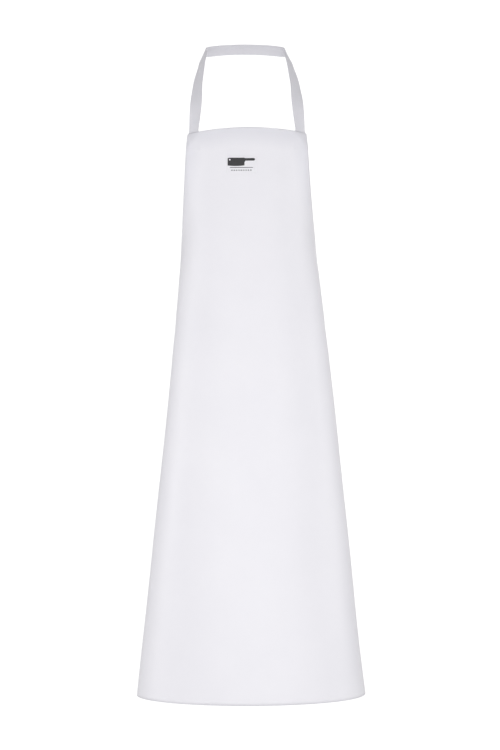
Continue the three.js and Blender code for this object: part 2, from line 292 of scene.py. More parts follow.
@dataclass
class PanelCut:
    """The flat cut of the panel and the way it hangs, with its place and overall sizes from the frame."""

    front: float
    top: float
    length: float
    hem_span: float
    bib_width: float = 0.262
    bib_crown: float = 0.0108
    crown_power: float = 1.7
    waist_width: float = 0.640
    hem_width: float = 0.900
    waist_drop: float = 0.450
    armhole_power: float = 1.8
    thick: float = 0.0006
    bib_span: float = 0.2498
    chest_drop: float = 0.2187
    chest_slope: float = 0.0558
    flare_softness: float = 0.156
    wrap_power: float = 1.3

    def half_flat(self, drop: np.ndarray) -> np.ndarray:
        """Half the flat width.

        Args:
            drop: distances below the top edge.

        Returns:
            Half the width at each.
        """
        above = np.clip(drop / self.waist_drop, 0, 1) ** self.armhole_power
        below = (drop - self.waist_drop) / (self.length - self.waist_drop)
        upper = self.bib_width + (self.waist_width - self.bib_width) * above
        lower = self.waist_width + (self.hem_width - self.waist_width) * below
        return np.where(drop < self.waist_drop, upper, lower) / 2

    def half_span(self, drop: np.ndarray) -> np.ndarray:
        """Half the straight width of the hanging panel, which flares once below the chest.

        Args:
            drop: distances below the top edge.

        Returns:
            Half the width at each.
        """
        flare = (self.hem_span - self.bib_span) / 2 - self.chest_slope * self.length
        start, end = self._past_chest(0.0), self._past_chest(self.length)
        flared = flare * (self._past_chest(drop) - start) / (end - start)
        return self.bib_span / 2 + self.chest_slope * drop + flared

    def _past_chest(self, drop: np.ndarray | float) -> np.ndarray | float:
        """A length that starts near 0 and grows one for one past the chest line."""
        beyond = drop - self.chest_drop
        return (beyond + np.hypot(beyond, self.flare_softness)) / 2

    def top_edge(self, share: np.ndarray | float) -> np.ndarray | float:
        """How far the top edge has fallen at a share of the way from its middle to a corner."""
        return self.bib_crown * np.abs(share) ** self.crown_power

    def flat_area(self) -> float:
        """Area of the flat cut."""
        drops = np.linspace(0, self.length, TABLE_STEPS + 1)
        uncrowned = np.trapz(2 * self.half_flat(drops), drops)
        return float(uncrowned - self.bib_width * self.bib_crown / (1 + self.crown_power))


@dataclass(frozen=True)
class Wave:
    """One run of soft waves across the cloth."""

    height: float
    length: float
    phase: float
    drift: float  # change of phase for each metre of drop

    def at(self, along: np.ndarray, drop: np.ndarray) -> np.ndarray:
        """Height of the wave at places on the flat cloth."""
        return self.height * np.sin(2 * np.pi * along / self.length + self.phase + self.drift * drop)


@dataclass
class HangDetail:
    """What sets a real hanging cloth apart from the plain wrapped shape."""

    bib_shift: float = -0.009  # the bib hangs this far to the viewer's left
    nape_shift: float = -0.0140
    shift_end: float = 0.60  # drop at which the shift has died away
    roll: float = 0.007  # slope of the bib's top edge, lower on the viewer's left

    corner_along: float = 0.0985  # where the corner crease meets the top edge, from the centre line
    corner_drop: float = 0.029  # where it meets the side edge, below the corner
    corner_turn: float = math.radians(24)
    corner_round: float = 0.0035
    corner_back: float = 0.75  # how much of the corner's turn goes straight back
    corner_in: float = 0.25  # and how much goes square to the cloth

    edge_roll: float = 0.0036  # the bib's side edges curl back by this much
    roll_width: float = 0.016
    roll_start: float = 0.12  # drop below which the curl fades
    roll_fade: float = 0.30

    flute: float = 0.0022  # height of the soft upright waves at the hem
    flute_start: float = 0.42  # drop at which they begin
    flute_least: float = 0.35  # share of them left in the middle of the panel
    flutes: tuple[Wave, Wave] = (Wave(0.6, 0.33, 0.9, -0.8), Wave(0.4, 0.19, -0.7, 1.6))

    back_fold: float = 0.005  # height of the slow folds near the open back edges
    back_start: float = 0.27  # distance from the centre line at which they begin
    back_reach: float = 0.14
    back_below: float = 0.05  # and the distance below the waist line
    back_fade: float = 0.35
    back_wave: Wave = Wave(1.0, 0.17, 0.0, 0.6)
    back_phase: float = 1.2  # how the two sides differ

    pull: float = 0.0010  # height of the short creases that the waist straps pull
    pull_reach: float = 0.045  # distance from the corner at which they are highest
    pull_spread: float = 0.055
    pull_clear: float = 0.02  # the welded corner itself stays flat

    weld_rise: float = 0.00035  # how much a welded patch thickens the cloth
    ripple: float = 0.0005  # height of slow waves all over
    hem_start: float = 0.55  # drop at which the hem's lift begins
    hem_sag: float = 0.002  # the hem hangs this much lower in the middle
    hem_lift: float = 0.0092  # and rises by this much towards the sides
    hem_reach: float = 0.36  # distance from the centre line at which it is fully lifted
    hem_roll: float = 0.0045  # slope of the hem, higher on the viewer's right


class HangingPanel:
    """The panel's surface: turns places on the flat cloth into places in space.

    A place on the flat cloth is its distance along from the centre line, positive to the viewer's right,
    and its drop below the middle of the top edge.
    """

    def __init__(
        self, cut: PanelCut, detail: HangDetail, weld_width: float, weld_foot: float, waist_line: float
    ) -> None:
        """Solve the wrapped sections.

        Args:
            cut: the flat cut and hang.
            detail: the small departures of a real cloth.
            weld_width: how far the corner patches reach in from the bib's side edges.
            weld_foot: drop of the lower edge of the corner patches.
            waist_line: drop of the waist straps' middle.
        """
        self.cut, self.detail = cut, detail
        self.weld_width, self.weld_foot, self.waist_line = weld_width, weld_foot, waist_line
        self._solve()

    def _solve(self) -> None:
        """Fill the table of plan outlines, one for each drop."""
        cut = self.cut
        self.drops = np.linspace(0, cut.length, TABLE_STEPS + 1)
        share = np.linspace(0, 1, SECTION_STEPS + 1)
        profile = (1 - np.cos(np.pi * share**cut.wrap_power)) / 2
        width = cut.half_flat(self.drops)[:, None]
        reach = cut.half_span(self.drops)
        low, high = np.zeros(len(self.drops)), np.full(len(self.drops), MOST_TURN)
        for _ in range(HALVINGS):
            turn = (low + high) / 2
            widest = self._outline(width, turn[:, None] * profile)[0].max(axis=1)
            flat = widest > reach
            low, high = np.where(flat, turn, low), np.where(flat, high, turn)
        self.x_table, self.y_table = self._outline(width, high[:, None] * profile)

    @staticmethod
    def _outline(width: np.ndarray, heading: np.ndarray) -> tuple[np.ndarray, np.ndarray]:
        """Plan coordinates of sections from their headings along the cloth.

        Args:
            width: half the flat width of each section.
            heading: its heading at each step from the centre line.

        Returns:
            The sections' coordinates to the side and to the back.
        """
        middle = (heading[:, 1:] + heading[:, :-1]) / 2
        step = width / SECTION_STEPS
        start = np.zeros((len(width), 1))
        x = np.hstack([start, np.cumsum(np.cos(middle) * step, axis=1)])
        y = np.hstack([start, np.cumsum(np.sin(middle) * step, axis=1)])
        return x, y

    def _wrapped(self, along: np.ndarray, drop: np.ndarray) -> np.ndarray:
        """Places of the plain wrapped surface, before the small details.

        Args:
            along: distances from the centre line.
            drop: distances below the top edge.

        Returns:
            The places, read from the solved table.
        """
        row = np.clip(drop / self.cut.length, 0, 1) * TABLE_STEPS
        column = np.clip(np.abs(along) / self.cut.half_flat(drop), 0, 1) * SECTION_STEPS
        r, c = np.minimum(row.astype(int), TABLE_STEPS - 1), np.minimum(column.astype(int), SECTION_STEPS - 1)
        fr, fc = row - r, column - c
        place = []
        for table in (self.x_table, self.y_table):
            upper = table[r, c] * (1 - fc) + table[r, c + 1] * fc
            lower = table[r + 1, c] * (1 - fc) + table[r + 1, c + 1] * fc
            place.append(upper * (1 - fr) + lower * fr)
        return np.stack([np.sign(along) * place[0], self.cut.front + place[1], self.cut.top - drop], axis=-1)

    def _relief(self, along: np.ndarray, drop: np.ndarray) -> np.ndarray:
        """Height of waves and creases out of the plain surface.

        Args:
            along: distances from the centre line.
            drop: distances below the top edge.

        Returns:
            Heights, in front of the surface where positive.
        """
        cut, detail = self.cut, self.detail
        aside = np.abs(along)
        fall = ramp(drop, detail.flute_start, cut.length - detail.flute_start)
        spread = detail.flute_least + (1 - detail.flute_least) * ramp(aside, 0.05, 0.22)
        height = detail.flute * fall * sum(wave.at(along, drop) for wave in detail.flutes) * spread

        below = ramp(drop - self.waist_line, detail.back_below, detail.back_fade)
        back = ramp(aside, detail.back_start, detail.back_reach) * below
        slow = replace(detail.back_wave, phase=detail.back_phase * np.sign(along))
        height += detail.back_fold * back * slow.at(aside, drop)

        inset = cut.half_flat(drop) - aside
        away = np.hypot(inset, drop - self.waist_line)
        spoke = np.arctan2(drop - self.waist_line, inset + detail.pull_clear)
        folds = np.cos(9 * spoke + 0.6) + 0.5 * np.cos(5 * spoke - 1.1)
        near = np.exp(-(((away - detail.pull_reach) / detail.pull_spread) ** 2))
        height += detail.pull * folds * near * ramp(away, detail.pull_clear, 0.03)

        height += detail.weld_rise * self.doubled(along, drop)
        swell = np.sin(2 * np.pi * drop / 0.41 + 3.1 * along) * np.sin(2 * np.pi * along / 0.23)
        return height + detail.ripple * swell

    def _curl(self, along: np.ndarray, drop: np.ndarray) -> np.ndarray:
        """How far the bib's side edges curl straight back.

        Args:
            along: distances from the centre line.
            drop: distances below the top edge.

        Returns:
            The distances.
        """
        detail = self.detail
        inset = np.maximum(self.cut.half_flat(drop) - np.abs(along), 0)
        rolled = np.clip(1 - inset / detail.roll_width, 0, 1) ** 2
        return detail.edge_roll * rolled * (1 - ramp(drop, detail.roll_start, detail.roll_fade))

    def doubled(self, along: np.ndarray, drop: np.ndarray, border: float = 0.004) -> np.ndarray:
        """Where a welded corner patch backs the cloth.

        Args:
            along: distances from the centre line.
            drop: distances below the top edge.
            border: width of the patch's soft border.

        Returns:
            1 over the patch, 0 away from it.
        """
        inner = self.cut.bib_width / 2 - self.weld_width
        return ramp(np.abs(along), inner, border) * smooth((self.weld_foot - drop) / border)

    def point(self, along: np.ndarray, drop: np.ndarray) -> np.ndarray:
        """Place of the cloth's front face.

        Args:
            along: flat distance from the centre line, positive to the viewer's right.
            drop: flat distance below the middle of the top edge.

        Returns:
            Places in the row frame.
        """
        along, drop = np.broadcast_arrays(np.asarray(along, float), np.asarray(drop, float))
        step = 0.001
        ahead, behind = self._wrapped(along + step, drop), self._wrapped(along - step, drop)
        lower, upper = self._wrapped(along, drop + step), self._wrapped(along, np.maximum(drop - step, 0))
        outward = unit(np.cross(ahead - behind, upper - lower))
        place = self._wrapped(along, drop) + outward * self._relief(along, drop)[..., None]
        place[..., 1] += self._curl(along, drop)
        return self._settle(self._fold_corner(place, outward, along, drop), along, drop)

    def _fold_corner(
        self, place: np.ndarray, outward: np.ndarray, along: np.ndarray, drop: np.ndarray
    ) -> np.ndarray:
        """Turn the bib's corners back along the slanting crease that the neck strap pulls.

        Args:
            place: places of the surface so far.
            outward: its directions out of the front face.
            along: distances from the centre line.
            drop: distances below the top edge.

        Returns:
            The moved places.
        """
        detail = self.detail
        half = self.cut.half_flat(drop)
        fallen = drop - self.cut.top_edge(np.minimum(np.abs(along) / half, 1))
        across, down = half - detail.corner_along, detail.corner_drop
        reach = (np.abs(along) - detail.corner_along) / across - fallen / down
        beyond = soft_positive(reach / np.hypot(1 / across, 1 / down), detail.corner_round)
        pulled = np.array([0.0, 1.0, 0.0]) * detail.corner_back - outward * detail.corner_in
        return place + pulled * (beyond * math.tan(detail.corner_turn))[..., None]

    def _settle(self, place: np.ndarray, along: np.ndarray, drop: np.ndarray) -> np.ndarray:
        """Shift and roll the bib as the apron hangs a little to one side, and raise the hem at its sides.

        Args:
            place: places of the surface so far.
            along: distances from the centre line.
            drop: distances below the top edge.

        Returns:
            The moved places.
        """
        detail = self.detail
        held = 1 - smooth(drop / detail.shift_end)
        low = ramp(drop, detail.hem_start, self.cut.length - detail.hem_start)
        place = place.copy()
        place[..., 2] += low * (detail.hem_lift * smooth(np.abs(along) / detail.hem_reach) - detail.hem_sag)
        place[..., 2] += low * detail.hem_roll * place[..., 0]
        place[..., 2] += detail.roll * place[..., 0] * held
        place[..., 0] += detail.bib_shift * held
        return place

    def frame(self, along: np.ndarray, drop: np.ndarray) -> tuple[np.ndarray, ...]:
        """Place and directions of the front face.

        Args:
            along: distances from the centre line.
            drop: distances below the top edge.

        Returns:
            Place, direction to the side, direction up and direction into the cloth.
        """
        step = 0.0005
        place = self.point(along, drop)
        sideways = unit(self.point(along + step, drop) - self.point(along - step, drop))
        up = unit(self.point(along, np.maximum(drop - step, 0)) - self.point(along, drop + step))
        inward = unit(np.cross(up, sideways))
        return place, sideways, up, inward

    def behind(self, along: np.ndarray, drop: np.ndarray, depth: np.ndarray | float) -> np.ndarray:
        """Places behind the front face.

        Args:
            along: distances from the centre line.
            drop: distances below the top edge.
            depth: how far behind the face.

        Returns:
            The places.
        """
        place, _, _, inward = self.frame(np.asarray(along, float), np.asarray(drop, float))
        return place + inward * np.asarray(depth)[..., None]


# ---- Straps ------------------------------------------------------------------------------------

PLEAT_WANDER = 22.0  # change of the pleats' phase for each metre of strap


@dataclass
class StripCut:
    """The strip that every strap is folded from."""

    width: float = 0.026
    thick: float = 0.0011
    rim: float = 0.00012  # extra thickness at the two folded edges
    lap: float = 0.00030  # step of the lap weld along the inner face
    rim_width: float = 0.0012
    lap_place: float = -0.18  # where the lap's edge lies, as a share of the width from the middle
    gathered: float = 0.014
    pleats: float = 2.5  # small folds across the strap where it is pinched
    pleat_height: float = 0.8
    cells: int = 26

    def ripple(self, width: np.ndarray) -> np.ndarray:
        """Height of the pleats that take up the cloth when the strap is pinched to a width."""
        slack = np.maximum(self.width / width - 1, 0)
        return self.pleat_height * width / (math.pi * self.pleats) * np.sqrt(slack)

    def section(self, width: float, ripple: float, phase: float) -> np.ndarray:
        """Closed outline of the strap's section.

        Args:
            width: width of the strap there.
            ripple: height of its pleats.
            phase: how far the pleats have wandered.

        Returns:
            Rows of (across, out of the face).
        """
        a = np.linspace(-0.5, 0.5, self.cells + 1)
        rim = self.rim * np.exp(-(((0.5 - np.abs(a)) * width / self.rim_width) ** 2))
        wave = ripple * np.sin(2 * math.pi * self.pleats * a + phase) * (1 - (2 * a) ** 8)
        half = self.thick / 2 + rim
        lap = self.lap * ramp(a, self.lap_place, 0.02)
        outer = np.stack([a * width, wave + half], axis=1)
        inner = np.stack([a * width, wave - half - lap], axis=1)[::-1]
        turns = np.linspace(0, math.pi, 6)[1:-1]
        right, left = outer[-1], outer[0]
        cap = self.thick / 2
        end_right = np.stack([right[0] + cap * np.sin(turns), wave[-1] + cap * np.cos(turns)], axis=1)
        end_left = np.stack([left[0] - cap * np.sin(turns), wave[0] - cap * np.cos(turns)], axis=1)
        return np.vstack([outer, end_right, inner, end_left])


@dataclass
class Station:
    """One chosen place along a strap."""

    centre: Sequence[float]
    across: Sequence[float]
    width: float | None = None


@dataclass
class Route:
    """A strap's path, sampled evenly along its length."""

    centre: np.ndarray
    across: np.ndarray
    ahead: np.ndarray
    facing: np.ndarray
    width: np.ndarray
    distance: np.ndarray

    @property
    def length(self) -> float:
        """Length of the path."""
        return float(self.distance[-1])

    def at(self, distance: np.ndarray) -> "Route":
        """The path at chosen distances from its start.

        Args:
            distance: the distances.

        Returns:
            The path, sampled there.
        """

        def pick(table: np.ndarray) -> np.ndarray:
            """Rows of a table between its samples."""
            return np.stack([np.interp(distance, self.distance, column) for column in table.T], axis=1)

        ahead = unit(pick(self.ahead))
        across = pick(self.across)
        across = unit(across - ahead * np.sum(across * ahead, axis=1, keepdims=True))
        width = np.interp(distance, self.distance, self.width)
        return Route(pick(self.centre), across, ahead, np.cross(ahead, across), width, distance)


def smooth_route(stations: Sequence[Station], cut: StripCut, spacing: float = 0.0025) -> Route:
    """Run a centripetal Catmull-Rom curve through the stations and sample it evenly.

    Args:
        stations: the chosen places, in order.
        cut: the strip, for its usual width.
        spacing: distance between samples.

    Returns:
        The sampled route.
    """
    centres = np.array([s.centre for s in stations], float)
    directions = unit(np.array([s.across for s in stations], float))
    widths = np.array([s.width or cut.width for s in stations])
    ends = np.vstack([2 * centres[0] - centres[1], centres, 2 * centres[-1] - centres[-2]])
    knots = np.concatenate([[0], np.cumsum(np.sqrt(np.linalg.norm(np.diff(ends, axis=0), axis=1)))])
    points, across, width = [], [], []
    fine = 24
    for i in range(1, len(ends) - 2):
        shares = np.arange(fine + (i == len(ends) - 3)) / fine
        t = (knots[i] + (knots[i + 1] - knots[i]) * shares)[:, None]
        mix = lambda a, b, ta, tb: ((tb - t) * a + (t - ta) * b) / (tb - ta)
        k0, k1, k2, k3 = knots[i - 1 : i + 3]
        p0, p1, p2, p3 = ends[i - 1 : i + 3]
        a1, a2, a3 = mix(p0, p1, k0, k1), mix(p1, p2, k1, k2), mix(p2, p3, k2, k3)
        points.append(mix(mix(a1, a2, k0, k2), mix(a2, a3, k1, k3), k1, k2))
        eased = smooth(shares)[:, None]
        across.append(directions[i - 1] * (1 - eased) + directions[i] * eased)
        width.append(widths[i - 1] * (1 - eased[:, 0]) + widths[i] * eased[:, 0])
    points, across, width = np.vstack(points), np.vstack(across), np.concatenate(width)
    distance = np.concatenate([[0], np.cumsum(np.linalg.norm(np.diff(points, axis=0), axis=1))])
    ahead = unit(np.gradient(points, distance, axis=0))
    raw = Route(points, across, ahead, np.cross(ahead, across), width, distance)
    count = max(int(distance[-1] / spacing), 8)
    return raw.at(np.linspace(0, distance[-1], count + 1))


def sweep_strip(
    name: str,
    route: Route,
    cut: StripCut,
    material: bpy.types.Material,
    slant: float = 0.0,
    flip: bool = False,
    phase: float = 0.0,
    press: Callable | None = None,
) -> bpy.types.Object:
    """Sweep the strip's section along a route.

    Args:
        name: the piece's name.
        route: the path and the width's direction along it.
        cut: the strip.
        material: its finish.
        slant: how far one corner of the far end stands beyond the other.
        flip: True to put the lap weld on the other face.
        phase: shifts the pleats where the strap is pinched.
        press: moves a ring's points, given its distance along, its section's outline and its points.

    Returns:
        The strap as a closed mesh with a UV map along its length.
    """
    count = len(route.distance)
    sign = -1.0 if flip else 1.0
    rings, uvs = [], []
    for i in range(count):
        width = route.width[i]
        outline = cut.section(width, float(cut.ripple(width)), phase + route.distance[i] * PLEAT_WANDER)
        a, n = outline[:, :1], outline[:, 1:] * sign
        ring = route.centre[i] + a * route.across[i] + n * route.facing[i]
        from_end = (route.length - route.distance[i]) / max(3 * abs(slant), 1e-6)
        ring = ring + route.ahead[i] * a / width * slant * (1 - smooth(from_end))
        rings.append(press(route.distance[i], np.hstack([a, n]), ring) if press else ring)
        uvs.append(np.hstack([np.full_like(a, route.distance[i]), a]))
    around = len(rings[0])
    piece = new_object(name, np.vstack(rings), tube_faces(count, around))
    uv = np.vstack(uvs)
    return dressed(piece, uv, np.repeat(route.width / 2, around) - np.abs(uv[:, 1]), material)


# ---- Finishes ----------------------------------------------------------------------------------


class NodeBoard:
    """A short way to place and join shader or geometry nodes in a tree."""

    def __init__(self, tree: bpy.types.NodeTree) -> None:
        """Start on a tree."""
        self.tree = tree

    def add(self, kind: str, settings: dict | None = None, **inputs: object) -> bpy.types.Node:
        """Place a node.

        Args:
            kind: Blender's node type.
            settings: the node's own options.
            inputs: values or output sockets for its inputs, with underscores for spaces, or i0, i1 by number.

        Returns:
            The new node.
        """
        node = self.tree.nodes.new(kind)
        for key, value in (settings or {}).items():
            setattr(node, key, value)
        for key, value in inputs.items():
            by_number = key[0] == "i" and key[1:].isdigit()
            socket = node.inputs[int(key[1:]) if by_number else key.replace("_", " ")]
            if isinstance(value, bpy.types.NodeSocket):
                self.tree.links.new(value, socket)
            else:
                socket.default_value = value
        return node

    def maths(self, operation: str, *values: object) -> bpy.types.NodeSocket:
        """One step of arithmetic, as an output socket."""
        numbered = {f"i{i}": value for i, value in enumerate(values)}
        return self.add("ShaderNodeMath", {"operation": operation}, **numbered).outputs[0]

    def between(
        self, amount: object, first: Sequence[float], second: Sequence[float]
    ) -> bpy.types.NodeSocket:
        """Mix two colours by an amount from 0 to 1."""
        colours = {"i6": (*first, 1.0), "i7": (*second, 1.0)}
        return self.add("ShaderNodeMix", {"data_type": "RGBA"}, i0=amount, **colours).outputs[2]

    def spread(
        self, value: object, low: float, high: float, to_low: float, to_high: float
    ) -> bpy.types.NodeSocket:
        """Carry a value from one range to another, held at the ends."""
        limits = {"From_Min": low, "From_Max": high, "To_Min": to_low, "To_Max": to_high}
        return self.add("ShaderNodeMapRange", Value=value, **limits).outputs[0]

    def held(self, value: object) -> bpy.types.NodeSocket:
        """Hold a value between 0 and 1."""
        return self.add("ShaderNodeClamp", Value=value).outputs[0]

    def stored(self, name: str) -> bpy.types.NodeSocket:
        """Read a number that is stored on the mesh."""
        return self.add("ShaderNodeAttribute", {"attribute_name": name}).outputs["Fac"]

    def place(self) -> bpy.types.NodeSocket:
        """The place on the object, in metres."""
        return self.add("ShaderNodeTexCoord").outputs["Object"]

    def group(self, tree: bpy.types.NodeTree, **inputs: object) -> bpy.types.bpy_prop_collection:
        """Place a shared group and give its outputs."""
        return self.add("ShaderNodeGroup", {"node_tree": tree}, **inputs).outputs


def fresh_material(name: str) -> tuple[bpy.types.Material, NodeBoard]:
    """Start a material.

    Args:
        name: the material's name.

    Returns:
        The material, with no nodes, and the board for them.
    """
    material = bpy.data.materials.new(name)
    material.use_nodes = True
    material.node_tree.nodes.clear()
    return material, NodeBoard(material.node_tree)


def group_tree(
    name: str, inputs: Iterable[tuple[str, str, object]], outputs: Iterable[tuple[str, str]]
) -> tuple[bpy.types.NodeTree, NodeBoard, bpy.types.Node, bpy.types.Node]:
    """A new shader node group with named sockets.

    Args:
        name: the group's name.
        inputs: name, socket type and default of each input.
        outputs: name and socket type of each output.

    Returns:
        The tree, its board, its input node and its output node.
    """
    tree = bpy.data.node_groups.new(name, "ShaderNodeTree")
    for label, kind, default in inputs:
        socket = tree.interface.new_socket(label, in_out="INPUT", socket_type=kind)
        if default is not None:
            socket.default_value = default
    for label, kind in outputs:
        tree.interface.new_socket(label, in_out="OUTPUT", socket_type=kind)
    return tree, NodeBoard(tree), tree.nodes.new("NodeGroupInput"), tree.nodes.new("NodeGroupOutput")


VECTOR, NUMBER = "NodeSocketVector", "NodeSocketFloat"


def weave_group() -> bpy.types.NodeTree:
    """Plain weave that shows through a coating: threads over and under, as a height from 0 to 1.

    Returns:
        The group, with the threads for each metre and their unevenness as inputs.
    """
    tree, board, given, result = group_tree(
        "woven_ground",
        [("Vector", VECTOR, None), ("Threads", NUMBER, 900.0), ("Slub", NUMBER, 0.3)],
        [("Height", NUMBER), ("Thread", NUMBER)],
    )
    split = board.add("ShaderNodeSeparateXYZ", Vector=given.outputs["Vector"])
    waves = []
    for axis in (0, 1):
        scaled = board.maths("MULTIPLY", split.outputs[axis], given.outputs["Threads"])
        waves.append(board.maths("SINE", board.maths("MULTIPLY", scaled, math.pi)))
    over = board.maths("MULTIPLY", waves[0], waves[1])
    lifted = board.maths("MULTIPLY_ADD", over, 0.5, 0.5)
    uneven = board.add("ShaderNodeTexNoise", Vector=given.outputs["Vector"], Scale=210.0, Detail=2.0)
    slub = board.maths("MULTIPLY", uneven.outputs[0], given.outputs["Slub"])
    board.tree.links.new(board.maths("ADD", lifted, slub), result.inputs["Height"])
    board.tree.links.new(lifted, result.inputs["Thread"])
    return tree


def coat_group() -> bpy.types.NodeTree:
    """Cast coating: fine pebbled grain, slow blotches and faint rubbed streaks.

    Returns:
        The group, with the grain's scale as an input.
    """
    tree, board, given, result = group_tree(
        "cast_coating",
        [("Vector", VECTOR, None), ("Grain Scale", NUMBER, 620.0)],
        [("Grain", NUMBER), ("Blotch", NUMBER), ("Streak", NUMBER)],
    )
    vector = given.outputs["Vector"]
    pebbles = board.add("ShaderNodeTexVoronoi", Vector=vector, Scale=given.outputs["Grain Scale"])
    haze = board.add("ShaderNodeTexNoise", Vector=vector, Scale=95.0, Detail=4.0, Roughness=0.6)
    pebbled = board.maths("MULTIPLY", pebbles.outputs[0], 0.5)
    grain = board.maths("MULTIPLY_ADD", haze.outputs[0], 0.7, pebbled)
    blotch = board.add("ShaderNodeTexNoise", Vector=vector, Scale=5.5, Detail=3.0, Roughness=0.55)
    stretched = board.add("ShaderNodeMapping", Vector=vector, Scale=(46.0, 3.0, 3.0))
    streak = board.add("ShaderNodeTexNoise", Vector=stretched.outputs[0], Scale=1.6, Detail=3.0)
    for source, label in ((grain, "Grain"), (blotch.outputs[0], "Blotch"), (streak.outputs[0], "Streak")):
        board.tree.links.new(source, result.inputs[label])
    return tree


def edge_group() -> bpy.types.NodeTree:
    """A mask that is 1 on a cut or folded edge and fades inwards, broken up by noise.

    Returns:
        The group, with the distance from the edge and how far the mask reaches as inputs.
    """
    tree, board, given, result = group_tree(
        "handled_edge",
        [("Distance", NUMBER, 1.0), ("Reach", NUMBER, 0.004), ("Vector", VECTOR, None)],
        [("Mask", NUMBER)],
    )
    near = board.maths("DIVIDE", given.outputs["Distance"], given.outputs["Reach"])
    broken = board.add("ShaderNodeTexNoise", Vector=given.outputs["Vector"], Scale=60.0, Detail=3.0)
    uneven = board.maths("ADD", broken.outputs[0], 0.5)
    fade = board.maths("SUBTRACT", 1.0, board.maths("MULTIPLY", near, uneven))
    board.tree.links.new(board.held(fade), result.inputs["Mask"])
    return tree


@dataclass(frozen=True)
class CoatedCloth:
    """A coated or woven cloth finish."""

    name: str
    colour: tuple[float, float, float]
    shade: tuple[float, float, float]  # colour of blotches, rubbed edges, welded patches and the panel's painted edge shade
    roughness: float = 0.46
    weave_depth: float = 0.00003
    grain_depth: float = 0.00006
    threads: float = 1150.0
    sheen: float = 0.12
    edge_reach: float = 0.003
    edge_strength: float = 0.35
    blotch_strength: float = 0.22
    thread_shade: float = 0.06

    def build(self, groups: dict[str, bpy.types.NodeTree]) -> bpy.types.Material:
        """Make the material.

        Args:
            groups: the shared effects by name.

        Returns:
            The finished material.
        """
        material, board = fresh_material(self.name)
        metres = board.add("ShaderNodeUVMap", {"uv_map": "cloth_metres"}).outputs[0]
        place = board.place()
        weave = board.group(groups["weave"], Vector=metres, Threads=self.threads)
        coat = board.group(groups["coat"], Vector=place)
        distance = board.stored("edge_metres")
        edge = board.group(groups["edge"], Distance=distance, Reach=self.edge_reach, Vector=place)
        patchy = board.spread(coat["Blotch"], 0.35, 0.7, 0.0, self.blotch_strength)
        rubbed = board.maths("MULTIPLY", edge["Mask"], self.edge_strength)
        marks_and_painted_shade = board.maths("MAXIMUM", patchy, rubbed)
        # The stored value holds the welded patches' show-through and the painted shade near the bib's edges.
        marks_and_painted_shade = board.maths("MAXIMUM", marks_and_painted_shade, board.stored("doubling"))
        thread = board.maths("MULTIPLY", weave["Thread"], self.thread_shade)
        colour = board.between(board.held(board.maths("ADD", marks_and_painted_shade, thread)), self.colour, self.shade)
        grainy = board.maths("MULTIPLY", coat["Grain"], 0.4)
        smeared = board.maths("MULTIPLY_ADD", coat["Streak"], 0.6, grainy)
        rough = board.spread(smeared, 0.25, 0.8, self.roughness - 0.07, self.roughness + 0.09)
        woven = board.add("ShaderNodeBump", Distance=self.weave_depth, Height=weave["Height"]).outputs[0]
        grained = board.add("ShaderNodeBump", Distance=self.grain_depth, Height=coat["Grain"], Normal=woven)
        shader = board.add(
            "ShaderNodeBsdfPrincipled",
            Base_Color=colour,
            Roughness=rough,
            Normal=grained.outputs[0],
            Sheen_Weight=self.sheen,
            Sheen_Roughness=0.4,
            IOR=1.46,
        )
        board.add("ShaderNodeOutputMaterial", Surface=shader.outputs[0])
        return material


@dataclass(frozen=True)
class Ink:
    """Printed ink: dark, slightly broken and a little glossier than the cloth."""

    name: str
    colour: tuple[float, float, float]
    faded: tuple[float, float, float]
    roughness: float = 0.38
    grain_scale: float = 1400.0
    grain_depth: float = 0.00003

    def build(self, groups: dict[str, bpy.types.NodeTree]) -> bpy.types.Material:
        """Make the material.

        Args:
            groups: the shared effects by name.

        Returns:
            The finished material.
        """
        material, board = fresh_material(self.name)
        coat = board.group(groups["coat"], Vector=board.place(), Grain_Scale=self.grain_scale)
        colour = board.between(board.spread(coat["Grain"], 0.3, 1.0, 0.0, 1.0), self.colour, self.faded)
        bump = board.add("ShaderNodeBump", Distance=self.grain_depth, Height=coat["Grain"]).outputs[0]
        rough = board.maths("MULTIPLY_ADD", coat["Streak"], 0.1, self.roughness)
        shader = board.add("ShaderNodeBsdfPrincipled", Base_Color=colour, Roughness=rough, Normal=bump)
        board.add("ShaderNodeOutputMaterial", Surface=shader.outputs[0])
        return material


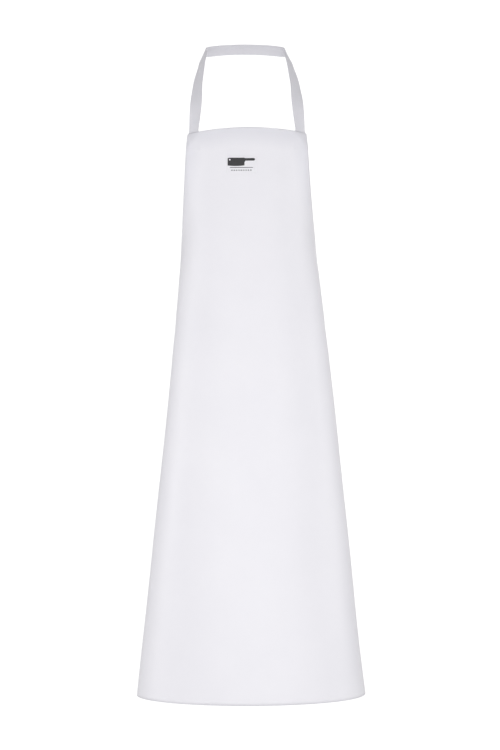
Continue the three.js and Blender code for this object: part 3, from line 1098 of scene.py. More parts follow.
class Finishes:
    """Every material of the apron, built once."""

    def __init__(self) -> None:
        """Build the shared groups and the materials."""
        groups = {"weave": weave_group(), "coat": coat_group(), "edge": edge_group()}
        # cool is the colour that blotches, rubbed edges, patches and the painted edge shade mix towards.
        white, cool = (0.803, 0.793, 0.832), (0.705, 0.70, 0.75)
        self.panel = CoatedCloth("white_coating", white, cool).build(groups)
        self.backing = CoatedCloth(
            "woven_backing",
            colour=(0.76, 0.755, 0.78),
            shade=(0.62, 0.615, 0.65),
            roughness=0.78,
            weave_depth=0.00022,
            grain_depth=0.00003,
            threads=820.0,
            sheen=0.35,
        ).build(groups)
        self.cut_edge = CoatedCloth(
            "cut_edge",
            colour=(0.72, 0.715, 0.74),
            shade=(0.52, 0.51, 0.53),
            roughness=0.7,
            weave_depth=0.0001,
            grain_depth=0.0001,
            threads=1400.0,
            sheen=0.2,
        ).build(groups)
        self.strap = CoatedCloth(
            "strap_coating",
            colour=(0.69, 0.682, 0.725),
            shade=(0.59, 0.585, 0.635),
            roughness=0.5,
            weave_depth=0.00005,
            grain_depth=0.00008,
            threads=1000.0,
            sheen=0.14,
            edge_reach=0.002,
            edge_strength=0.5,
        ).build(groups)
        self.patch = CoatedCloth(
            "patch_coating",
            colour=(0.78, 0.775, 0.815),
            shade=(0.66, 0.66, 0.71),
            roughness=0.48,
            weave_depth=0.00004,
            edge_reach=0.002,
            edge_strength=0.5,
        ).build(groups)
        self.film = CoatedCloth(
            "print_film",
            colour=white,
            shade=cool,
            roughness=0.43,
            weave_depth=0.00001,
            grain_depth=0.00004,
            edge_reach=0.001,
            edge_strength=0.2,
        ).build(groups)
        self.ink = Ink("print_ink", (0.012, 0.012, 0.014), (0.03, 0.03, 0.034)).build(groups)


# ---- Repeats by Geometry Nodes -----------------------------------------------------------------


def pressed_dome(board: NodeBoard, given: bpy.types.Node) -> bpy.types.NodeSocket:
    """Make a low round dome.

    Args:
        board: where its nodes go.
        given: the tree's input node, with Radius and Height.

    Returns:
        The dome.
    """
    ball = board.add("GeometryNodeMeshUVSphere", Segments=10, Rings=6, Radius=1.0)
    radius = given.outputs["Radius"]
    size = board.add("ShaderNodeCombineXYZ", X=radius, Y=radius, Z=given.outputs["Height"])
    dome = board.add("GeometryNodeTransform", Geometry=ball.outputs["Mesh"], Scale=size.outputs[0])
    return board.add("GeometryNodeSetShadeSmooth", Geometry=dome.outputs[0]).outputs[0]


def flat_dot(board: NodeBoard, given: bpy.types.Node) -> bpy.types.NodeSocket:
    """A flat round dot, from a tree's Radius and Height."""
    sizes = {"Radius": given.outputs["Radius"], "Depth": given.outputs["Height"]}
    return board.add("GeometryNodeMeshCylinder", Vertices=24, **sizes).outputs[0]


def standing_tree(
    name: str,
    shape: Callable[[NodeBoard, bpy.types.Node], bpy.types.NodeSocket],
    material: bpy.types.Material,
) -> bpy.types.NodeTree:
    """A tree that puts one shape on every point, standing along the point's 'stand' attribute.

    Args:
        name: the tree's name.
        shape: makes the shape from the tree's inputs.
        material: the finish of the shapes.

    Returns:
        The tree, with named inputs for the shapes' radius, height and unevenness in size.
    """
    tree = bpy.data.node_groups.new(name, "GeometryNodeTree")
    tree.interface.new_socket("Geometry", in_out="INPUT", socket_type="NodeSocketGeometry")
    for label, usual in (("Radius", 0.001), ("Height", 0.0002), ("Unevenness", 0.0)):
        tree.interface.new_socket(label, in_out="INPUT", socket_type=NUMBER).default_value = usual
    tree.interface.new_socket("Geometry", in_out="OUTPUT", socket_type="NodeSocketGeometry")
    board = NodeBoard(tree)
    given, result = tree.nodes.new("NodeGroupInput"), tree.nodes.new("NodeGroupOutput")
    direction = board.add("GeometryNodeInputNamedAttribute", {"data_type": "FLOAT_VECTOR"}, Name="stand")
    stand = board.add("FunctionNodeAlignRotationToVector", {"axis": "Z"}, Vector=direction.outputs[0])
    smallest = board.maths("SUBTRACT", 1.0, given.outputs["Unevenness"])
    uneven = board.add("FunctionNodeRandomValue", {"data_type": "FLOAT"}, Seed=7)
    tree.links.new(smallest, uneven.inputs[2])
    placed = board.add(
        "GeometryNodeInstanceOnPoints",
        Points=given.outputs["Geometry"],
        Instance=shape(board, given),
        Rotation=stand.outputs[0],
        Scale=uneven.outputs[1],
    )
    real = board.add("GeometryNodeRealizeInstances", Geometry=placed.outputs[0])
    finished = board.add("GeometryNodeSetMaterial", Geometry=real.outputs[0], Material=material)
    tree.links.new(finished.outputs[0], result.inputs[0])
    return tree


def stand_on(
    name: str, places: np.ndarray, directions: np.ndarray, tree: bpy.types.NodeTree, sizes: dict[str, float]
) -> bpy.types.Object:
    """Run a standing tree on a set of points and keep its result as a plain mesh.

    Args:
        name: the new piece's name.
        places: the points.
        directions: the direction in which the shape on each point stands.
        tree: the geometry tree.
        sizes: the tree's inputs by name.

    Returns:
        The new piece.
    """
    base = new_object(f"{name}_places", places, [])
    set_attribute(base, "stand", directions)
    modifier = base.modifiers.new("repeat", "NODES")
    modifier.node_group = tree
    for item in tree.interface.items_tree:
        if item.item_type == "SOCKET" and item.in_out == "INPUT" and item.name in sizes:
            modifier[item.identifier] = sizes[item.name]
    depsgraph = bpy.context.evaluated_depsgraph_get()
    mesh = bpy.data.meshes.new_from_object(base.evaluated_get(depsgraph), depsgraph=depsgraph)
    mesh.name = name
    bpy.data.objects.remove(base)
    return linked(name, mesh)


# ---- Sub-assemblies ----------------------------------------------------------------------------


def ease_off(laid: np.ndarray, ring: np.ndarray, past: float, ease: float) -> np.ndarray:
    """Move a strap's ring from the cloth it is welded to, to its own free path.

    Args:
        laid: the ring's points on the cloth.
        ring: its points on the free path.
        past: how far along the strap it is from where the strap comes free.
        ease: length over which the strap comes free.

    Returns:
        The ring's points.
    """
    free = float(smooth(past / ease))
    return laid * (1 - free) + ring * free


@dataclass
class Layers:
    """Depths of what is welded to the inside of the panel, behind its front face."""

    panel: float = 0.0006
    patch: float = 0.0006
    gap: float = 0.00015
    strap: float = 0.0011
    weld_length: float = 0.034
    margin: float = 0.006  # how far a patch stands out round the strap's end
    edge: float = 0.0025  # how far a patch stays inside the panel's edge
    inset: float = 0.002  # how far the neck strap's end stays inside the bib's side edge

    @property
    def patch_depth(self) -> float:
        """Front face of a patch."""
        return self.panel + self.gap

    @property
    def strap_middle(self) -> float:
        """Middle of a strap that is welded on a patch."""
        return self.patch_depth + self.patch + self.gap + self.strap / 2


@dataclass
class Cloth:
    """The panel itself."""

    surface: HangingPanel
    finishes: Finishes
    columns: int = 150
    rows: tuple[int, int, int] = (26, 84, 112)
    doubling_shade: float = 0.55  # how much the welded patches show through
    doubling_border: float = 0.003
    edge_shade: float = 0.9  # painted shade: how much the bib darkens towards its edges, where the cloth turns away from the light
    edge_reach: float = 0.055
    shade_start: float = 0.05  # drop below which that fades
    shade_fade: float = 0.20

    def build(self) -> bpy.types.Object:
        """Make the panel with its outer coating, woven inside and cut edges.

        Returns:
            The panel, closed all round.
        """
        cut = self.surface.cut
        foot = self.surface.weld_foot
        drops = np.concatenate([
            np.linspace(0, foot, self.rows[0], endpoint=False),
            np.linspace(foot, cut.waist_drop, self.rows[1], endpoint=False),
            np.linspace(cut.waist_drop, cut.length, self.rows[2] + 1),
        ])
        rows = len(drops) - 1
        share = np.linspace(-1, 1, self.columns + 1)[None, :]
        drop = drops[:, None] + cut.top_edge(share) * np.clip(1 - drops[:, None] / foot, 0, 1)
        along = share * cut.half_flat(drop)
        place, _, _, inward = self.surface.frame(along, drop)
        outer, inner = place.reshape(-1, 3), (place + inward * cut.thick).reshape(-1, 3)
        wide, count = self.columns + 1, len(outer)
        faces = [tuple(reversed(f)) for f in grid_faces(rows, self.columns)]
        faces += grid_faces(rows, self.columns, count)
        rim = [r * wide for r in range(rows)] + [rows * wide + c for c in range(self.columns)]
        rim += [r * wide + self.columns for r in range(rows, 0, -1)] + list(range(self.columns, 0, -1))
        faces += [(a, b, b + count, a + count) for a, b in zip(rim, rim[1:] + rim[:1])]
        flat = np.stack([along, drop], axis=-1).reshape(-1, 2)
        edges = [cut.half_flat(drop) - np.abs(along), drop - cut.top_edge(share), cut.length - drop]
        from_edge = np.minimum.reduce(edges)
        piece = new_object("panel_cloth", np.vstack([outer, inner]), faces)
        finishes = (self.finishes.panel, self.finishes.backing, self.finishes.cut_edge)
        dressed(piece, np.vstack([flat, flat]), np.tile(from_edge.ravel(), 2), *finishes)
        shaded = self.doubling_shade * self.surface.doubled(along, drop, self.doubling_border)
        # Painted shade: darken the bib near its edges, fading out down the chest. It is stored together with
        # the welded patches' show-through.
        dark = self.edge_shade * smooth(1 - from_edge / self.edge_reach)
        shaded = np.maximum(shaded, dark * (1 - ramp(drop, self.shade_start, self.shade_fade)))
        set_attribute(piece, "doubling", np.tile(shaded.ravel(), 2))
        cells = rows * self.columns
        slots = np.repeat([0, 1, 2], [cells, cells, len(piece.data.polygons) - 2 * cells])
        piece.data.polygons.foreach_set("material_index", slots.astype(np.int32))
        return piece


@dataclass
class Patches:
    """Reinforcing patches welded inside the panel."""

    surface: HangingPanel
    layers: Layers
    strip: StripCut
    finishes: Finishes
    corner_round: float = 0.005
    pressed_rim: float = 0.0022
    pressed_share: float = 0.45  # thickness left at the rim

    def build(self, name: str, half_wide: float, half_high: float, to_cloth: Callable) -> bpy.types.Object:
        """Make one patch from rings of its rounded outline, pressed thin along its rim.

        Args:
            name: the piece's name.
            half_wide: half its width.
            half_high: half its height.
            to_cloth: turns places on the patch, from its middle, into (along, drop).

        Returns:
            The patch, closed all round.
        """
        outline = rounded_outline(half_wide, half_high, self.corner_round)
        rim = self.pressed_rim / min(half_wide, half_high)
        shares = np.concatenate([np.linspace(0.02, 1 - 1.6 * rim, 14), np.linspace(1 - 1.3 * rim, 1, 7)])
        flat = (outline[None] * shares[:, None, None]).reshape(-1, 2)
        away = np.repeat(1 - shares, len(outline)) * min(half_wide, half_high)
        pressed = self.pressed_share + (1 - self.pressed_share) * smooth(away / self.pressed_rim)
        thick = self.layers.patch * pressed
        along, drop = to_cloth(flat[:, 0], flat[:, 1])
        near = self.surface.behind(along, drop, np.full(len(flat), self.layers.patch_depth))
        far = self.surface.behind(along, drop, self.layers.patch_depth + thick)
        faces = pillow_faces(len(shares), len(outline))
        piece = new_object(name, np.vstack([near, far]), faces)
        return dressed(piece, np.vstack([flat, flat]), np.tile(away, 2), self.finishes.patch)

    def corner(self, side: Side) -> bpy.types.Object:
        """The patch behind the neck strap's end.

        Args:
            side: which end.

        Returns:
            The patch.
        """
        cut, lay = self.surface.cut, self.layers
        inner = cut.bib_width / 2 - lay.inset - self.strip.width - lay.margin
        top = float(cut.top_edge(0.93)) + lay.edge
        wide = (cut.bib_width / 2 - lay.edge - inner) / 2
        high = (self.surface.weld_foot - top) / 2

        def to_cloth(x: np.ndarray, y: np.ndarray) -> tuple[np.ndarray, np.ndarray]:
            """Turn places on the patch into places on the flat cloth."""
            drop = top + high - y
            widened = (cut.half_flat(drop) - cut.bib_width / 2) * (x + wide) / (2 * wide)
            return side.value * (inner + wide + x + widened), drop

        return self.build(f"corner_patch_cloth_{side.label}", wide, high, to_cloth)

    def waist(self, side: Side) -> bpy.types.Object:
        """The patch behind the waist strap's end.

        Args:
            side: which end.

        Returns:
            The patch.
        """
        cut, lay = self.surface.cut, self.layers
        wide = (lay.weld_length + lay.margin - lay.edge) / 2
        high = self.strip.width / 2 + lay.margin

        def to_cloth(x: np.ndarray, y: np.ndarray) -> tuple[np.ndarray, np.ndarray]:
            """Turn places on the patch into places on the flat cloth."""
            drop = self.surface.waist_line - y
            return side.value * (cut.half_flat(drop) - lay.edge - wide + x), drop

        return self.build(f"waist_patch_cloth_{side.label}", wide, high, to_cloth)


@dataclass
class WeldDots:
    """Rows of small pressed dots where a strap's end is welded down."""

    surface: HangingPanel
    layers: Layers
    strip: StripCut
    finishes: Finishes
    spacing: float = 0.0052
    margin: float = 0.0045
    radius: float = 0.00105
    height: float = 0.00022
    unevenness: float = 0.12

    def _grid(self) -> tuple[np.ndarray, np.ndarray]:
        """Places of the dots on one end.

        Returns:
            Distances across the strap, and along it from its foot.
        """
        edge, hair = self.strip.width / 2 - self.margin, 1e-6
        across = np.arange(-edge, edge + hair, self.spacing)
        ahead = np.arange(self.margin, self.layers.weld_length - self.margin + hair, self.spacing)
        grid = np.meshgrid(across, ahead)
        return grid[0].ravel(), grid[1].ravel()

    def build(self, neck_along: float, neck_drop: float) -> bpy.types.Object:
        """Make the dots of all four welded ends.

        Args:
            neck_along: flat distance from the centre line to the middle of the neck strap's end.
            neck_drop: drop of the bib's top edge there.

        Returns:
            The dots as one piece.
        """
        across, ahead = self._grid()
        cut, line = self.surface.cut, self.surface.waist_line
        waist_reach = float(cut.half_flat(np.array(line))) - self.layers.weld_length
        places, directions = [], []
        for side in Side:
            ends = (
                (neck_along + across, neck_drop + self.layers.weld_length - ahead),
                (waist_reach + ahead, line - across),
            )
            for along, drop in ends:
                place, _, _, inward = self.surface.frame(side.value * along, drop)
                depth = self.layers.strap_middle + self.strip.thick / 2
                on_lap = (along - neck_along > -0.2 * self.strip.width) * (drop < neck_drop + 0.06)
                lap = self.strip.lap * on_lap
                places.append(place + inward * (depth + lap)[:, None])
                directions.append(inward)
        tree = standing_tree("pressed_dots", pressed_dome, self.finishes.strap)
        sizes = {"Radius": self.radius, "Height": self.height, "Unevenness": self.unevenness}
        return stand_on("weld_dots", np.vstack(places), np.vstack(directions), tree, sizes)


@dataclass
class NeckStrap:
    """The strap over the nape and its two welded ends."""

    surface: HangingPanel
    layers: Layers
    strip: StripCut
    finishes: Finishes
    hinge: Vector
    inset: float = 0.0008
    nape_tilt: float = math.radians(44)
    bend_reach: float = 0.018
    free_before: float = 0.001  # the strap starts to come free this far before the weld ends
    ease: float = 0.008  # length over which it leaves the cloth's surface
    # Shares of the way out from the centre, back from the bib and up to the nape, with the width's direction.
    stations: list[tuple[float, float, float, tuple[float, float, float]]] = field(default_factory=lambda: [
        (0.955, 0.084, 0.313, (0.889, 0.425, -0.128)),
        (0.918, 0.266, 0.549, (0.756, 0.530, -0.373)),
        (0.832, 0.520, 0.806, (0.570, 0.631, -0.528)),
        (0.772, 0.812, 0.947, (0.281, 0.703, -0.645)),
        (0.650, 0.886, 0.966, (0.174, 0.657, -0.715)),
        (0.400, 0.969, 0.989, (0.001, 0.714, -0.695)),
    ])

    @property
    def along(self) -> float:
        """Flat distance from the centre line to the strap's middle at the bib."""
        return self.surface.cut.bib_width / 2 - self.inset - self.strip.width / 2

    @property
    def top_drop(self) -> float:
        """Drop of the bib's top edge at the strap's middle."""
        return float(self.surface.cut.top_edge(2 * self.along / self.surface.cut.bib_width))

    def _half(self, side: Side, nape: np.ndarray) -> list[Station]:
        """Stations from a weld's foot up to just short of the nape.

        Args:
            side: which half of the strap.
            nape: middle of the strap at the nape.

        Returns:
            The stations, from the foot upwards.
        """
        drops = self.top_drop + np.linspace(self.layers.weld_length, 0.0005, 7)
        along = np.full(len(drops), side.value * self.along)
        place, sideways, _, inward = self.surface.frame(along, drops)
        middle = place + inward * self.layers.strap_middle
        outward = sideways * side.value
        stations = [Station(p, w) for p, w in zip(middle, outward)]
        anchor, middle_x = middle[-1], self.surface.detail.bib_shift
        for out, back, up, across in self.stations:
            x = middle_x + (anchor[0] - middle_x) * out + (nape[0] - middle_x) * back
            centre = (x, anchor[1] + (nape[1] - anchor[1]) * back, anchor[2] + (nape[2] - anchor[2]) * up)
            stations.append(Station(centre, (side.value * across[0], across[1], across[2])))
        return stations

    def route(self) -> Route:
        """The whole strap's path.

        Returns:
            The path, from the right weld over the nape to the left one.
        """
        lean = self.nape_tilt
        lift = np.array([0.0, math.cos(lean), math.sin(lean)]) * self.strip.thick / 2
        nape = np.array([self.surface.detail.nape_shift, 0.0, 0.0]) + lift
        top = Station(nape, (0.0, math.sin(lean), -math.cos(lean)))
        right, left = self._half(Side.RIGHT, nape), self._half(Side.LEFT, nape)
        return smooth_route([*right, top, *reversed(left)], self.strip)

    def build(self) -> bpy.types.Object:
        """Make the strap in one piece, bending between the two bodies at the top of the welds.

        Returns:
            The strap.
        """
        self.path = self.route()
        coating = self.finishes.strap
        piece = sweep_strip("neck_strap_band", self.path, self.strip, coating, flip=True, press=self.press)
        start = self.hinge + Vector((0, 0, self.bend_reach))
        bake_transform(piece, "neck_loop", "apron", start=tuple(start), end=tuple(self.hinge))
        return piece

    def press(self, distance: float, outline: np.ndarray, ring: np.ndarray) -> np.ndarray:
        """Lay a welded ring on the patch, and ease it free above the bib's top edge.

        Args:
            distance: the ring's distance from the strap's right end.
            outline: the section's points as (across, behind the middle).
            ring: the ring's points on the plain route.

        Returns:
            The ring's points.
        """
        side = Side.RIGHT if distance < self.path.length / 2 else Side.LEFT
        from_end = distance if side is Side.RIGHT else self.path.length - distance
        past = from_end - self.layers.weld_length + self.free_before
        if past >= self.ease:
            return ring
        along = side.value * (self.along + outline[:, 0])
        drop = np.full(len(along), self.top_drop + self.layers.weld_length - from_end)
        laid = self.surface.behind(along, drop, self.layers.strap_middle + outline[:, 1])
        return ease_off(laid, ring, past, self.ease)


@dataclass
class WaistStraps:
    """The straps that run from the side corners to the bow, and the bow itself."""

    surface: HangingPanel
    layers: Layers
    strip: StripCut
    finishes: Finishes
    knot_low: Vector
    knot_high: Vector
    run_on: float = 0.010  # how far a strap runs on past the panel's edge
    free_before: float = 0.006
    ease: float = 0.008
    entry_inset: float = 0.005  # how far inside the knot's side a strap ends
    entry_back: float = 0.45  # how far in front of the knot's middle it enters, as a share of half the knot
    bow_of_run: tuple[float, float] = (0.45, 0.35)  # where the middle of the run lies, across and in depth
    sag: float = 0.0015
    narrowing: float = 0.021  # the strap's width where its pleats begin
    loop_length: float = 0.084
    loop_fullness: float = 0.010
    loop_droop: float = math.radians(26)
    loop_uneven: dict[Side, float] = field(default_factory=lambda: {Side.LEFT: 0.06, Side.RIGHT: -0.03})
    loop_raise: float = 0.006
    loop_behind: float = 0.0015
    loop_clear: float = 0.003
    loop_twist: float = 0.18
    knot_pleat: float = 0.0011
    knot_slant: float = 0.16
    core_size: tuple[float, float, float] = (0.74, 0.66, 0.72)  # shares of the knot's sizes
    tail_length: float = 0.280
    tail_gather: float = 0.8  # a tail is this much narrower at the knot than the other pinched straps
    tail_splay: float = 0.026
    tail_lean: float = 0.006
    tail_cut: float = 0.009
    tail_wave: dict[Side, float] = field(default_factory=lambda: {Side.LEFT: 0.004, Side.RIGHT: -0.003})
    tail_turn: float = 0.28
    tail_start: dict[Side, float] = field(default_factory=lambda: {Side.LEFT: 0.5, Side.RIGHT: 2.0})
    bend_reach: float = 0.022
    # Shares of a loop's length outwards and of its fullness in depth, and whether the strap is pinched.
    loop_shape: list[tuple[float, float, bool]] = field(default_factory=lambda: [
        (-0.08, -0.12, True),
        (0.06, -0.3, True),
        (0.3, -0.75, False),
        (0.7, -1.0, False),
        (0.95, -0.65, False),
        (1.0, 0.0, False),
        (0.95, 0.65, False),
        (0.7, 1.0, False),
        (0.3, 0.8, False),
        (0.06, 0.4, True),
        (-0.08, 0.2, True),
    ])

    @property
    def middle(self) -> np.ndarray:
        """Middle of the knot."""
        return np.array((self.knot_low + self.knot_high) / 2)

    @property
    def half(self) -> np.ndarray:
        """Half the knot's sizes."""
        return np.array((self.knot_high - self.knot_low) / 2)

    def tie(self, side: Side) -> bpy.types.Object:
        """The strap from its weld to the knot.

        Args:
            side: which strap.

        Returns:
            The strap.
        """
        cut, lay = self.surface.cut, self.layers
        line = self.surface.waist_line
        inset = np.linspace(lay.weld_length, 0, 6)
        level = np.full(len(inset), line)
        along = side.value * (cut.half_flat(level) - inset)
        place, sideways, up, inward = self.surface.frame(along, level)
        welded = place + inward * lay.strap_middle
        stations = [Station(p, u) for p, u in zip(welded, up)]
        edge, outward = welded[-1], sideways[-1] * side.value
        stations.append(Station(edge + outward * self.run_on, up[-1]))
        knot = self.middle
        depth = knot[1] - self.half[1] * self.entry_back
        entry = np.array([side.value * (self.half[0] - self.entry_inset), depth, knot[2]])
        halfway = entry + (edge - entry) * np.array([*self.bow_of_run, 1.0]) - np.array([0, 0, self.sag])
        near = entry + (halfway - entry) * 0.35
        stations += [
            Station(halfway, (0, 0, 1)),
            Station(near, (0, 0.08, 1), self.narrowing),
            Station(entry, (0, 0, 1), self.strip.gathered),
        ]
        route = smooth_route(stations, self.strip)
        self.route_length = route.length
        facing = 1.0 if np.dot(route.facing[0], inward[0]) > 0 else -1.0

        def press(distance: float, outline: np.ndarray, ring: np.ndarray) -> np.ndarray:
            """Lay a welded ring on the patch, and ease it free towards the panel's edge."""
            past = distance - lay.weld_length + self.free_before
            if past >= self.ease:
                return ring
            drop = line - outline[:, 0]
            reach = cut.half_flat(np.full(len(drop), line)) - lay.weld_length + distance
            laid = self.surface.behind(side.value * reach, drop, lay.strap_middle + facing * outline[:, 1])
            return ease_off(laid, ring, past, self.ease)

        name, coating = f"waist_strap_{side.label}", self.finishes.strap
        return sweep_strip(name, route, self.strip, coating, phase=0.7, press=press)

    def loop(self, side: Side) -> bpy.types.Object:
        """One loop of the bow, drooping a little.

        Args:
            side: which loop.

        Returns:
            The loop.
        """
        droop = self.loop_droop + self.loop_uneven[side]
        outward = np.array([side.value * math.cos(droop), 0, -math.sin(droop)])
        upright = np.array([side.value * math.sin(droop), 0, math.cos(droop)])
        start = self.half[0] / math.cos(droop) + self.loop_clear
        root = self.middle + np.array([0, self.loop_behind, self.loop_raise])
        stations = []
        for out, deep, pinched in self.loop_shape:
            centre = root + outward * (start + (self.loop_length - start) * out)
            centre = centre + np.array([0, deep * self.loop_fullness, 0])
            twist = np.array([0, self.loop_twist * deep, 0])
            stations.append(Station(centre, upright + twist, self.strip.gathered if pinched else None))
        route = smooth_route(stations, self.strip, 0.002)
        self.route_length = route.length
        return sweep_strip(f"bow_loop_strap_{side.label}", route, self.strip, self.finishes.strap)

    def tail(self, side: Side) -> bpy.types.Object:
        """One hanging end, which swings under the knot.

        Args:
            side: which end.

        Returns:
            The end.
        """
        narrow = self.strip.gathered * self.tail_gather
        widening = self.strip.width - narrow
        begin = narrow / 2 + 0.0012
        top = self.knot_low.z - 0.0008
        y = self.middle[1]
        stations = [
            Station((side.value * begin * 0.7, y, top + 0.006), (1, 0, 0), narrow * 0.9),
            Station((side.value * begin, y, top - 0.004), (1, 0.05 * side.value, 0), narrow),
        ]
        for share in (0.08, 0.2, 0.38, 0.55, 0.75, 0.9, 1.0):
            out = begin + widening / 2 * min(share / 0.16, 1) + self.tail_splay * share
            swing = self.tail_wave[side] * math.sin(share * 2.6 * math.pi) * (0.3 + 0.7 * share)
            centre = (side.value * out, y + self.tail_lean * share + swing, top - self.tail_length * share)
            width = narrow + widening * float(smooth(share / 0.2))
            turn = self.tail_turn * math.sin(share * 2.2 * math.pi + self.tail_start[side]) * share
            stations.append(Station(centre, (1, turn, 0), width))
        slant = self.tail_cut * (1 if side is Side.LEFT else -1)
        route = smooth_route(stations, self.strip)
        self.route_length = route.length
        name, coating = f"tail_strap_{side.label}", self.finishes.strap
        return sweep_strip(name, route, self.strip, coating, slant=slant, phase=1.3)

    def knot(self) -> bpy.types.Object:
        """The turn of strap that binds the bow, gathered into a few folds.

        Returns:
            The turn, closed all round.
        """
        cells, around = 22, 72
        half, room = self.half, 0.0012
        turns = np.linspace(0, 2 * math.pi, around, endpoint=False)
        a = np.linspace(-1, 1, cells + 1)
        squareness = 2 / 2.6
        cos, sin = np.cos(turns), np.sin(turns)
        ring_y = np.sign(cos) * np.abs(cos) ** squareness
        ring_z = np.sign(sin) * np.abs(sin) ** squareness
        squeeze = 1 - 0.16 * np.cos(turns) ** 2
        outer = []
        for k, t in enumerate(turns):
            pleat = self.knot_pleat * np.sin(2.5 * math.pi * a + 0.9 * np.sin(t)) * (1 - a**6)
            belly = 1 - 0.20 * np.abs(a) ** 3
            y = ring_y[k] * ((half[1] - room) * belly + pleat)
            z = ring_z[k] * ((half[2] - room) * belly + pleat)
            x = a * (half[0] - 0.003) * squeeze[k] + self.knot_slant * z
            outer.append(np.stack([x, y, z], axis=1))
        outer = np.array(outer)
        inner = outer.copy()
        inner[..., 1:] *= 1 - self.strip.thick / np.linalg.norm(outer[..., 1:], axis=-1, keepdims=True)
        grid = np.concatenate([outer, inner[:, ::-1]], axis=1)
        wide = grid.shape[1]
        faces = []
        for k in range(around):
            faces += ring_faces(k * wide, (k + 1) % around * wide, wide)
        piece = new_object("knot_band", grid.reshape(-1, 3) + self.middle, faces)
        length = turns[:, None] * half[2] * np.ones(wide)
        over = np.concatenate([a, a[::-1]])[None, :] * half[0] * np.ones((around, 1))
        uv = np.stack([length, over], axis=-1).reshape(-1, 2)
        return dressed(piece, uv, half[0] - np.abs(over).ravel(), self.finishes.strap)

    def core(self) -> bpy.types.Object:
        """The gathered strap inside the knot, seen between its folds at the sides.

        Returns:
            The core, closed all round.
        """
        around, rings = 60, 17
        half = self.half * np.array(self.core_size)
        turns = np.linspace(0, 2 * math.pi, around, endpoint=False)
        x = np.cos(np.linspace(math.pi, 0, rings))
        rows = []
        for share in x:
            radius = max(max(1 - share * share, 0) ** 0.32, 0.02)
            pleat = 1 + 0.10 * np.cos(9 * turns + 1.5 * share)
            y, z = np.cos(turns) * half[1] * radius * pleat, np.sin(turns) * half[2] * radius * pleat
            rows.append(np.stack([np.full(around, share * half[0]), y, z], axis=1))
        piece = new_object("knot_core", np.vstack(rows) + self.middle, tube_faces(rings, around))
        turn = np.tile(np.linspace(0, 0.06, around), rings)
        uv = np.stack([turn, np.repeat(x * half[0], around)], axis=-1)
        return dressed(piece, uv, np.full(around * rings, 0.01), self.finishes.strap)


